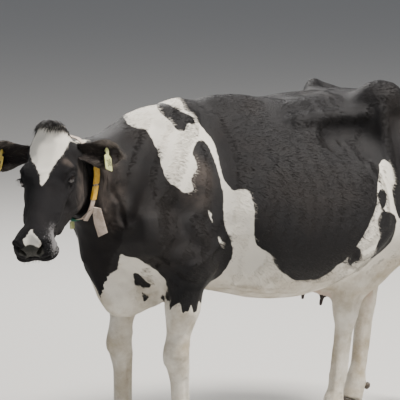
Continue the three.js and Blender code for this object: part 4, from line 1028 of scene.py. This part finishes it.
onBarrel = lambda at: (at[:, 0] >= -0.30) & (at[:, 0] < 0.52) & (at[:, 2] > 0.66)
coatPieces = {
    # piece: how many tufts, and where
    "coatHead": (47000, lambda at: isHeadAt(at) * (padness(at) < -0.004)),
    "coatNeck": (48000, lambda at: ~isHeadAt(at) & (at[:, 0] < -0.30) & (at[:, 2] > 0.66)),
    "coatLeft": (48000, lambda at: onBarrel(at) & (at[:, 1] < shiftY)),
    "coatRight": (44000, lambda at: onBarrel(at) & (at[:, 1] >= shiftY)),
    "coatRump": (46000, lambda at: (at[:, 0] >= 0.52) & (at[:, 2] > 0.66)),
    "coatLegs": (44000, lambda at: (at[:, 2] <= 0.66) & (at[:, 2] > 0.10)),
}
coatSize = {"body": 0.021, "belly": 0.027, "leg": 0.0125, "head": 0.0095, "udder": 0.007, "slim": 0.125,
            "lift": 0.07, "settle": -0.04}


def tuftLength(roots):
    at, normal = roots["at"], roots["normal"]
    long = coatSize["body"] + (coatSize["belly"] - coatSize["body"]) * smoothStep(-0.2, -0.8, normal[:, 2])
    legs = smoothStep(0.80, 0.60, at[:, 2])
    long = long * (1 - legs) + coatSize["leg"] * legs
    head = toHead(at)
    toFace = smoothStep(-0.16, 0.03, head[:, 0]) * (at[:, 0] < -0.5)
    short = coatSize["head"] * (1.25 - 0.55 * smoothStep(0.1, 0.48, head[:, 0]))
    long = long * (1 - toFace) + short * toFace
    bare = np.minimum(roots["values"]["bare"], 1)
    return (long * (1 - bare) + coatSize["udder"] * bare) * roots["draw"].uniform(0.72, 1.25, len(at))


def growCoat():
    material = coatMaterial("coatTufts", coatShine["tufts"], 0.015, False)
    for number, (name, (count, where)) in enumerate(coatPieces.items()):
        count = count
        thick = lambda at: where(at) * (1 - 0.7 * np.minimum(bareness(at), 1.4)) * notUnderEye(at)
        roots = scatter(skin, count, 40 + number, thick)
        length = tuftLength(roots)
        way = lieWay(roots["at"], roots["normal"], roots["draw"])
        roots["at"] = roots["at"] - roots["normal"] * 0.0006
        lift = roots["draw"].uniform(0.5, 1.4, count)[:, None] * coatSize["lift"]
        growHair(name, roots, unit(way + roots["normal"] * lift), length, length * coatSize["slim"],
                 roots["normal"] * coatSize["settle"], material)
    print("coat grown")


def notUnderEye(places):
    keep = np.ones(len(places))
    for node in eyeSides:
        keep *= fromEye(places, node) > eyeLook["radius"] + 0.0012
    return keep


unwrapSkin(skin)
print("skin unwrapped")
growCoat()


# eyes: one ball each, with a flat-topped dark pupil and a bulging cornea
eyeBall = {"iris": 0.62, "pupilWide": 0.50, "pupilHigh": 0.24, "bulge": 0.0012, "turned": (0.24, 0.95, 0.06)}


def buildEye(node):
    side = eyeSides[node]
    bpy.ops.object.select_all(action="DESELECT")
    bpy.ops.mesh.primitive_uv_sphere_add(segments=64, ring_count=40, radius=eyeLook["radius"])
    ball = bpy.context.object
    ball.name = ball.data.name = node + "_ball"
    forward, out, up = eyeBall["turned"]
    gaze = (headTurn @ Vector((forward, side * out, up))).normalized()
    raised = (browWay - gaze * browWay.dot(gaze)).normalized()
    across = raised.cross(gaze)
    places = pointsOf(ball)
    bulge = smoothStep(0.80, 1.0, places[:, 2] / eyeLook["radius"])
    places[:, 2] += eyeBall["bulge"] * bulge
    setValue(ball, "irisAcross", places[:, 0] / eyeLook["radius"])
    setValue(ball, "irisUp", places[:, 1] / eyeLook["radius"])
    setValue(ball, "irisFront", places[:, 2] / eyeLook["radius"])
    turn = np.array(Matrix((across, raised, gaze)))
    setPoints(ball, places @ turn + np.array(middle(node)))
    ball.data.shade_smooth()
    ball.data.materials.append(eyeMaterial)
    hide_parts(node)
    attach(ball, "root")


def buildEyeMaterial():
    material, kit, shader = startMaterial("eyeGloss")
    across, up, front = kit.value("irisAcross"), kit.value("irisUp"), kit.value("irisFront")
    square = lambda value: kit.times(value, value)
    away = kit.math("SQRT", kit.plus(square(across), square(up)))
    rays = kit.noise(kit.place(), 700, 3, 0.6)
    iris = kit.mix(rays, (0.008, 0.005, 0.004, 1), (0.024, 0.014, 0.009, 1))
    vein = kit.step(kit.noise(kit.place(), 240, 4, 0.7), 0.52, 0.66)
    white = kit.mix(kit.times(vein, 0.5), (0.21, 0.19, 0.185, 1), (0.16, 0.08, 0.07, 1))
    colour = kit.mix(kit.step(away, eyeBall["iris"] - 0.05, eyeBall["iris"] + 0.03), iris, white)
    slot = kit.plus(square(kit.math("DIVIDE", across, eyeBall["pupilWide"])),
                    square(kit.math("DIVIDE", up, eyeBall["pupilHigh"])))
    colour = kit.mix(kit.step(slot, 0.85, 1.1), (0.003, 0.003, 0.005, 1), colour)
    colour = kit.mix(kit.step(front, 0.35, 0.15), colour, (0.05, 0.03, 0.03, 1))
    kit.feed(shader, "Base Color", colour)
    shader.inputs["Roughness"].default_value = 0.06
    shader.inputs["Coat Weight"].default_value = 0.6
    shader.inputs["Coat Roughness"].default_value = 0.03
    return material


eyeMaterial = buildEyeMaterial()
for node in eyeSides:
    buildEye(node)
print("eyes built")


# ears: the smooth shell of each, sunk a little way into the head
earLook = {"voxel": 0.0026, "rounds": 14, "sunk": 0.012, "fringe": 260, "fringeLength": (0.014, 0.032),
           "fringeWidth": 0.0011, "tufts": 5200,
           "ridges": 21, "ridge": 0.0009}


def buildEar(node):
    ear = copyOf(node, node + "_shell")
    remeshed(ear, earLook["voxel"])
    keepLargest(ear)
    places = smoothed(ear, np.full(len(ear.data.vertices), 0.5), earLook["rounds"])
    out = 1 if node.endswith("left") else -1
    root = np.array(onHead(0.012, out * 0.090, 0.040))
    tip = places[np.argmax(np.linalg.norm(places - root, axis=1))]
    axis = unit(tip - root)
    along = (places - root) @ axis
    places -= axis * (earLook["sunk"] * smoothStep(0.055, 0.015, along))[:, None]
    setPoints(ear, places)
    ear.data.shade_smooth()
    return ear, root, axis, (tip - root) @ axis


def earFrame(ear, axis):
    places = pointsOf(ear)
    spread = np.cov((places - places.mean(0)).T)
    outward = np.linalg.eigh(spread)[1][:, 0]
    outward = outward - axis * (outward @ axis)
    outward = unit(outward) * np.sign(outward @ np.array(noseWay) + 1e-6)
    return outward, np.cross(axis, outward)


def finishEar(node, number):
    ear, root, axis, length = buildEar(node)
    opening, across = earFrame(ear, axis)
    places, normals = pointsOf(ear), normalsOf(ear)
    inner = smoothStep(0.0, 0.35, normals @ opening)
    along = (places - root) @ axis / length
    height = (places - root) @ across
    low, high = height.min(), height.max()
    # rim: 1 along the ear's edge; it keeps the ridges off the edge and marks where a highlight is painted
    rim = smoothStep(0.60, 0.92, np.abs((height - (low + high) / 2) / ((high - low) / 2)))
    ridge = np.sin((height - low) / (high - low) * earLook["ridges"]) * earLook["ridge"]
    ridge *= inner * smoothStep(0.1, 0.3, along) * (1 - rim)
    setPoints(ear, places + normals * ridge[:, None])
    setValue(ear, "inner", inner)
    setValue(ear, "rim", rim)
    for name in markings:
        setValue(ear, name, np.full(len(places), {"dirt": 0.3, "bare": 0.0}.get(name, -0.3)))
    setValue(ear, "tone", np.full(len(places), 0.5))
    unwrapSkin(ear)
    ear.data.materials.append(earMaterial)
    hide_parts(node)
    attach(ear, "root")
    short = scatter(ear, earLook["tufts"] // (1), 70 + number, lambda at: 1.0)
    facing = short["normal"] @ opening
    way = unit(axis + across * short["draw"].normal(0, 0.2, len(facing))[:, None])
    way = unit(way - short["normal"] * np.einsum("nk,nk->n", way, short["normal"])[:, None])
    size = np.where(facing > 0.2, 0.007, 0.011) * short["draw"].uniform(0.7, 1.3, len(facing))
    growHair(node + "_hair", short, unit(way + short["normal"] * 0.14), size, size * 0.15,
             short["normal"] * -0.05, earHair)
    onEdge = lambda at: edgeOf(at, root, axis, length, across, low, high)
    fringe = scatter(ear, earLook["fringe"] * 3, 80 + number, onEdge)
    inward = -np.sign((fringe["at"] - root) @ across - (low + high) / 2)[:, None] * across
    stray = fringe["draw"].normal(0, 0.16, (len(inward), 3))
    way = unit(axis * 0.75 + opening * 0.45 + inward * 0.35 + stray)
    size = fringe["draw"].uniform(*earLook["fringeLength"], len(inward))
    growHair(node + "_fringe", fringe, way, size, earLook["fringeWidth"], inward * 0.25 + axis * 0.2, fringeHair,
             rings=3, flat=0.8)


def edgeOf(at, root, axis, length, across, low, high):
    height = np.abs(((at - root) @ across - (low + high) / 2) / ((high - low) / 2))
    along = (at - root) @ axis / length
    return np.maximum(smoothStep(0.62, 0.9, height), smoothStep(0.88, 0.97, along)) * (along > 0.06) + 0.015


def plainHairMaterial(name, dark, light, roughness):
    material, kit, shader = startMaterial(name)
    patches = kit.step(kit.noise(kit.place(), 60, 3, 0.6), 0.35, 0.7)
    colour = kit.mix(kit.times(kit.plus(kit.value("tone"), patches), 0.5), dark, light)
    kit.feed(shader, "Base Color", colour)
    shader.inputs["Roughness"].default_value = roughness
    shader.inputs["Specular IOR Level"].default_value = 0.4
    return material


def buildEarMaterial():
    material, kit, shader = startMaterial("earSkin")
    inner, rim = kit.value("inner"), kit.value("rim")
    base = kit.mix(kit.noise(kit.place(), 24, 4, 0.6), (0.005, 0.0048, 0.006, 1), (0.014, 0.011, 0.010, 1))
    flesh = kit.mix(kit.noise(kit.place(), 50, 3, 0.6), (0.010, 0.008, 0.008, 1), (0.030, 0.020, 0.017, 1))
    colour = kit.mix(kit.times(inner, 0.8), base, flesh)
    # painted highlight: lighter brown along the ear's edge
    colour = kit.mix(kit.times(rim, 0.55), colour, (0.11, 0.088, 0.072, 1))
    kit.feed(shader, "Base Color", colour)
    height = kit.plus(kit.noise(kit.place(), 420, 3, 0.6), kit.times(kit.noise(
        kit.place(), 90, 3, 0.5), 0.6))
    kit.relief(shader, 0.25, 0.0008, height)
    shader.inputs["Roughness"].default_value = 0.72
    shader.inputs["Specular IOR Level"].default_value = 0.2
    return material


earMaterial = buildEarMaterial()
earHair = plainHairMaterial("earHair", (0.006, 0.0055, 0.0065, 1), (0.022, 0.017, 0.014, 1), 0.42)
fringeHair = plainHairMaterial("fringeHair", (0.020, 0.016, 0.014, 1), (0.17, 0.14, 0.115, 1), 0.45)
for number, node in enumerate(("ear_left", "ear_right")):
    finishEar(node, number)
print("ears built")


# long hair: the poll's tuft, lashes, whiskers and the tail's switch
blackHair = plainHairMaterial("longBlackHair", (0.005, 0.0045, 0.0055, 1), (0.024, 0.018, 0.015, 1), 0.38)
tailHair = plainHairMaterial("switchHair", (0.20, 0.17, 0.13, 1), (0.60, 0.56, 0.48, 1), 0.5)
pollTuft = {"count": 1500, "middle": (-0.030, 0.004, 0.096), "reach": (0.046, 0.062, 0.070),
            "length": (0.013, 0.026), "width": 0.0032}


def growPoll():
    where = lambda at: np.linalg.norm((toHead(at) - pollTuft["middle"]) / pollTuft["reach"], axis=1) < 1
    roots = scatter(skin, pollTuft["count"] // (1), 91, where)
    head = toHead(roots["at"]) - pollTuft["middle"]
    count = len(head)
    out = np.column_stack([0.55 + head[:, 0] * 6, head[:, 1] * 5, np.full(count, 0.55)])
    out = unit(out + roots["draw"].normal(0, 0.16, (count, 3))) @ np.array(headTurn).T
    fall = np.column_stack([np.full(count, 0.55), head[:, 1] * 3, np.full(count, -0.40)])
    fall = fall @ np.array(headTurn).T
    length = roots["draw"].uniform(*pollTuft["length"], count)
    growHair("pollHair", roots, out, length, pollTuft["width"], fall, blackHair, rings=4, flat=0.6)


lashes = {"count": 46, "length": (0.015, 0.024), "width": 0.0008, "stray": 0.06, "droop": -0.42}


def growLashes():
    for node, side in eyeSides.items():
        gaze, corner, raised = (np.array(v) for v in eyeAxes(side))
        draw = np.random.default_rng(95 + side)
        count = lashes["count"]
        along = np.linspace(-0.85, 0.85, count) * eyeLook["halfWidth"]
        upper = eyeLook["upper"] * (1 - (along / eyeLook["halfWidth"]) ** 2) + 0.04
        ahead = np.sqrt(np.clip(1 - along ** 2 - upper ** 2, 0.05, 1))
        direction = along[:, None] * corner + upper[:, None] * raised + ahead[:, None] * gaze
        at = np.array(middle(node)) + unit(direction) * (eyeLook["radius"] + eyeLook["lid"] * 0.7)
        roots = {"at": at, "normal": unit(direction + raised * 0.3), "values": {}, "draw": draw,
                 "tone": draw.random(count) * 0.4}
        stray = draw.normal(0, lashes["stray"], (count, 3))
        way = unit(gaze * 0.85 + raised * 0.1 + corner * along[:, None] * 0.7 + stray)
        growHair(node + "_lashes", roots, way, draw.uniform(*lashes["length"], count), lashes["width"],
                 np.array((0, 0, lashes["droop"])) + raised * -0.1, blackHair, rings=4, flat=0.9)


whiskers = {"count": 90, "length": (0.005, 0.012), "width": 0.0006, "droop": -0.35}


def growWhiskers():
    chin = lambda at: (np.linalg.norm(toHead(at) * (1, 0.7, 1) - (0.470, 0, -0.075), axis=1) < 0.045)
    roots = scatter(skin, whiskers["count"], 97, chin)
    stray = roots["draw"].normal(0, 0.2, (whiskers["count"], 3))
    way = unit(roots["normal"] + np.array(noseWay) * 0.4 + stray)
    growHair("whiskers", roots, way, roots["draw"].uniform(*whiskers["length"], whiskers["count"]), whiskers["width"],
             np.array((0, 0, whiskers["droop"])), fringeHair, rings=3, flat=0.9)


switchLook = {"count": 1500, "top": 0.66, "middle": 0.44, "length": (0.10, 0.20), "width": 0.0034,
              "stray": 0.035, "bend": 0.03}


def growSwitch():
    low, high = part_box("tail_switch")
    behind = lambda at: (at[:, 0] > low.x - 0.01) & (np.abs(at[:, 1] - shiftY) < 0.12)
    onTail = lambda at: behind(at) & (at[:, 2] < switchLook["top"])
    where = lambda at: onTail(at) * (0.25 + smoothStep(switchLook["top"], switchLook["middle"], at[:, 2]))
    roots = scatter(skin, switchLook["count"] // (1), 99, where)
    count = len(roots["at"])
    length = roots["draw"].uniform(*switchLook["length"], count)
    length = np.minimum(length, roots["at"][:, 2] - low.z + 0.012)
    draw = roots["draw"]
    way = unit(np.array((0, 0, -1)) + roots["normal"] * 0.09 + draw.normal(0, switchLook["stray"], (count, 3)))
    bend = draw.normal(0, switchLook["bend"], (count, 3)) - roots["normal"] * 0.07
    growHair("switchHair", roots, way, length, switchLook["width"], bend, tailHair, rings=4, flat=0.7)


growPoll()
growLashes()
growWhiskers()
growSwitch()
print("long hair grown")


# claws: the smooth horn of each leg's two claws and two dewclaws
clawLook = {"voxel": 0.0034, "rounds": 6, "flat": 0.0045}


def clawHorn():
    material, kit, shader = startMaterial("clawHorn")
    place = kit.place()
    rings = kit.noise(place, 60, 3, 0.6, (0.25, 0.25, 2.4))
    worn = kit.step(kit.noise(place, 22, 4, 0.6), 0.4, 0.75)
    colour = kit.mix(rings, (0.020, 0.016, 0.014, 1), (0.085, 0.066, 0.050, 1))
    colour = kit.mix(kit.times(worn, 0.5), colour, (0.16, 0.125, 0.085, 1))
    kit.feed(shader, "Base Color", colour)
    kit.relief(shader, 0.5, 0.0015, rings)
    kit.feed(shader, "Roughness", kit.plus(0.38, kit.times(worn, 0.3)))
    return material


def buildClaws():
    material = clawHorn()
    for leg in legNames:
        nodes = [f"{kind}_{leg}_{side}" for kind in ("claw", "dewclaw") for side in ("outer", "inner")]
        claws = joined([copyOf(node, node + "_horn") for node in nodes], "claws_" + leg)
        remeshed(claws, clawLook["voxel"])
        places = smoothed(claws, np.full(len(claws.data.vertices), 0.5), clawLook["rounds"])
        places[:, 2] = np.where(places[:, 2] < clawLook["flat"], 0, places[:, 2])
        setPoints(claws, places)
        claws.data.shade_smooth()
        claws.data.materials.append(material)
        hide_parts(*nodes)
        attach(claws, "root")


buildClaws()
print("claws built")


# collar and tags: the CAD's solids with rounded edges, woven or moulded
wearing = {
    # node: bevel, material, slot
    "collar_strap": (0.0008, "webbing", "webbing"), "collar_end": (0.0008, "webbing", "webbing"),
    "collar_block_upper": (0.0022, "yellowPlastic", "number_block"),
    "collar_block_lower": (0.0022, "yellowPlastic", "number_block"),
    "collar_clip": (0.0016, "greenPlastic", "clip"), "collar_tag": (0.0018, "palePlastic", "tag"),
    "ear_tag_left": (0.0007, "palePlastic", "tag"), "ear_tag_right": (0.0007, "tagYellow", "tag"),
}
plasticColours = {
    "yellowPlastic": ((0.66, 0.36, 0.020, 1), (0.80, 0.52, 0.10, 1)),
    "tagYellow": ((0.52, 0.36, 0.045, 1), (0.62, 0.50, 0.16, 1)),
    "palePlastic": ((0.44, 0.46, 0.17, 1), (0.58, 0.60, 0.32, 1)),
    "greenPlastic": ((0.004, 0.10, 0.060, 1), (0.03, 0.18, 0.12, 1)),
}


def wearPlastic(name):
    fresh, faded = plasticColours[name]
    material, kit, shader = startMaterial(name)
    place = kit.place()
    worn = kit.step(kit.noise(place, 70, 4, 0.6), 0.35, 0.7)
    grime = kit.step(kit.noise(place, 160, 4, 0.7), 0.56, 0.72)
    colour = kit.mix(worn, fresh, faded)
    colour = kit.mix(kit.times(grime, 0.45), colour, (0.10, 0.075, 0.045, 1))
    kit.feed(shader, "Base Color", colour)
    rough = kit.plus(0.34, kit.times(kit.plus(worn, grime), 0.18))
    kit.feed(shader, "Roughness", rough)
    scratch = kit.noise(place, 500, 2, 0.5, (1, 0.2, 1))
    kit.relief(shader, 0.15, 0.0004, scratch)
    return material


webbingLook = {"thread": 0.0022, "base": (0.40, 0.31, 0.25, 1), "light": (0.66, 0.56, 0.49, 1),
               "dirt": (0.16, 0.115, 0.075, 1)}


def wearWebbing():
    material, kit, shader = startMaterial("webbing")
    place = kit.place()
    split = kit.node("ShaderNodeSeparateXYZ", inputs={0: place}).outputs
    step = 2 * math.pi / webbingLook["thread"]
    wave = lambda value: kit.math("SINE", kit.times(value, step))
    along = kit.less(split[0], split[1])
    weave = kit.math("MULTIPLY_ADD", kit.times(wave(along), wave(split[2])), 0.5, 0.5)
    soiled = kit.step(kit.noise(place, 26, 4, 0.65), 0.42, 0.72)
    colour = kit.mix(weave, webbingLook["base"], webbingLook["light"])
    colour = kit.mix(kit.times(soiled, 0.55), colour, webbingLook["dirt"])
    kit.feed(shader, "Base Color", colour)
    kit.relief(shader, 0.6, 0.0008, weave)
    shader.inputs["Roughness"].default_value = 0.85
    return material


def buildWearing():
    materials = {name: wearPlastic(name) for name in plasticColours}
    materials["webbing"] = wearWebbing()
    for node, (bevel, material, slot) in wearing.items():
        piece = copyOf(node, node + "_piece")
        activate(piece)
        bpy.ops.object.mode_set(mode="EDIT")
        bpy.ops.mesh.select_all(action="SELECT")
        bpy.ops.mesh.dissolve_limited(angle_limit=math.radians(3))
        bpy.ops.object.mode_set(mode="OBJECT")
        rounding = piece.modifiers.new("rounding", "BEVEL")
        rounding.width = bevel
        rounding.segments = 3
        rounding.limit_method = "ANGLE"
        rounding.angle_limit = math.radians(35)
        applyModifiers(piece)
        activate(piece)
        bpy.ops.object.shade_smooth_by_angle(angle=math.radians(42))
        piece.data.materials.append(materials[material])
        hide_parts(node)
        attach(piece, "root")


# plain figures: where on the piece, how tall
figures = {
    "collar_block_upper": ("3", 0.019), "collar_block_lower": ("8", 0.019),
    "ear_tag_left": ("38", 0.026), "ear_tag_right": ("38", 0.026),
}


# the side of a node that looks one way, as its middle, right, up and out
def sideOf(node, away):
    faces = [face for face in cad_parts[node].data.polygons if face.normal.dot(away) > 0.8]
    widest = max(faces, key=lambda face: face.area)
    out = widest.normal.copy()
    faces = [face for face in faces if abs((face.center - widest.center).dot(out)) < 0.0008]
    at = sum((face.center * face.area for face in faces), Vector()) / sum(face.area for face in faces)
    up = (Vector((0, 0, 1)) - out * out.z).normalized()
    return at, up.cross(out), up, out


# the direction that a flat node faces, on the side nearer to a given one
def flatWay(node, towards):
    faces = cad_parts[node].data.polygons
    widest = max(faces, key=lambda face: face.area).normal
    return widest.copy() if widest.dot(towards) > 0 else -widest


def addFigures():
    material, kit, shader = startMaterial("figureInk")
    ink = kit.mix(kit.noise(kit.place(), 300, 2), (0.008, 0.007, 0.007, 1), (0.045, 0.038, 0.03, 1))
    kit.feed(shader, "Base Color", ink)
    shader.inputs["Roughness"].default_value = 0.55
    toCamera = Vector(view["at"]) - middle("neck")
    for node, (label, tall) in figures.items():
        onEar = node.startswith("ear")
        at, right, up, out = sideOf(node, flatWay(node, toCamera))
        bpy.ops.object.select_all(action="DESELECT")
        bpy.ops.object.text_add()
        text = bpy.context.object
        text.data.body = label
        text.data.size = tall * 1.4
        text.data.extrude = 0.0005
        text.data.resolution_u = 3
        text.data.align_x = "CENTER"
        text.data.align_y = "CENTER"
        bpy.ops.object.convert(target="MESH")
        text = bpy.context.object
        text.name = text.data.name = "figures_" + node
        places = pointsOf(text)
        down, proud = (tall * 0.35, 0.0002) if onEar else (0, 0.0007)
        turned = (np.array(at)[None] + places[:, :1] * np.array(right)
                  + (places[:, 1:2] - down) * np.array(up) + (places[:, 2:] + proud) * np.array(out))
        setPoints(text, turned)
        text.data.materials.append(material)
        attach(text, "root")


# camera, floor and light
view = {"at": (-4.674, -7.515, 2.43), "turn": 31.0, "dip": 9.1, "roll": 0.2, "lens": 201.24}
studio = {"floor": (0.56, 0.55, 0.53, 1), "size": 240, "sky": (0.84, 0.88, 0.96, 1), "strength": 0.26}


def addCamera():
    data = bpy.data.cameras.new("camera")
    data.lens = view["lens"]
    data.sensor_width = 36
    data.clip_end = 200
    camera = bpy.data.objects.new("camera", data)
    bpy.context.collection.objects.link(camera)
    camera.location = view["at"]
    turn = Matrix.Rotation(-math.radians(view["turn"]), 3, "Z") @ Matrix.Rotation(
        math.radians(90 - view["dip"]), 3, "X") @ Matrix.Rotation(math.radians(view["roll"]), 3, "Z")
    camera.rotation_euler = turn.to_euler()
    bpy.context.scene.camera = camera


def addFloor():
    bpy.ops.mesh.primitive_plane_add(size=studio["size"], location=(0, 0, 0))
    floor = bpy.context.object
    floor.name = "floor"
    material, kit, shader = startMaterial("floorPaint")
    shader.inputs["Base Color"].default_value = studio["floor"]
    shader.inputs["Roughness"].default_value = 0.9
    floor.data.materials.append(material)


def addLamp(name, at, target, size, power, colour):
    data = bpy.data.lights.new(name, "AREA")
    data.size = size
    data.energy = power
    data.color = colour
    lamp = bpy.data.objects.new(name, data)
    bpy.context.collection.objects.link(lamp)
    lamp.location = at
    lamp.rotation_euler = (Vector(target) - Vector(at)).to_track_quat("-Z", "Y").to_euler()


lamps = {
    # lamp: place, what it looks at, size, power, colour
    "key": ((3.0, -2.8, 7.6), (0, 0, 1.0), 2.0, 1650, (1, 0.96, 0.90)),
    "back": ((1.0, 4.5, 4.5), (0, 0, 1.2), 2.5, 300, (1, 0.98, 0.95)),
    "front": ((-6.2, -3.6, 3.4), (-0.4, 0, 0.9), 3.5, 110, (0.92, 0.96, 1)),
}


def addLight():
    for name, values in lamps.items():
        addLamp(name, *values)
    world = bpy.data.worlds.new("studio")
    world.use_nodes = True
    world.node_tree.nodes["Background"].inputs["Color"].default_value = studio["sky"]
    world.node_tree.nodes["Background"].inputs["Strength"].default_value = studio["strength"]
    bpy.context.scene.world = world


buildWearing()
addFigures()
print("collar and tags built")
addCamera()
addFloor()
addLight()
print("stage set")
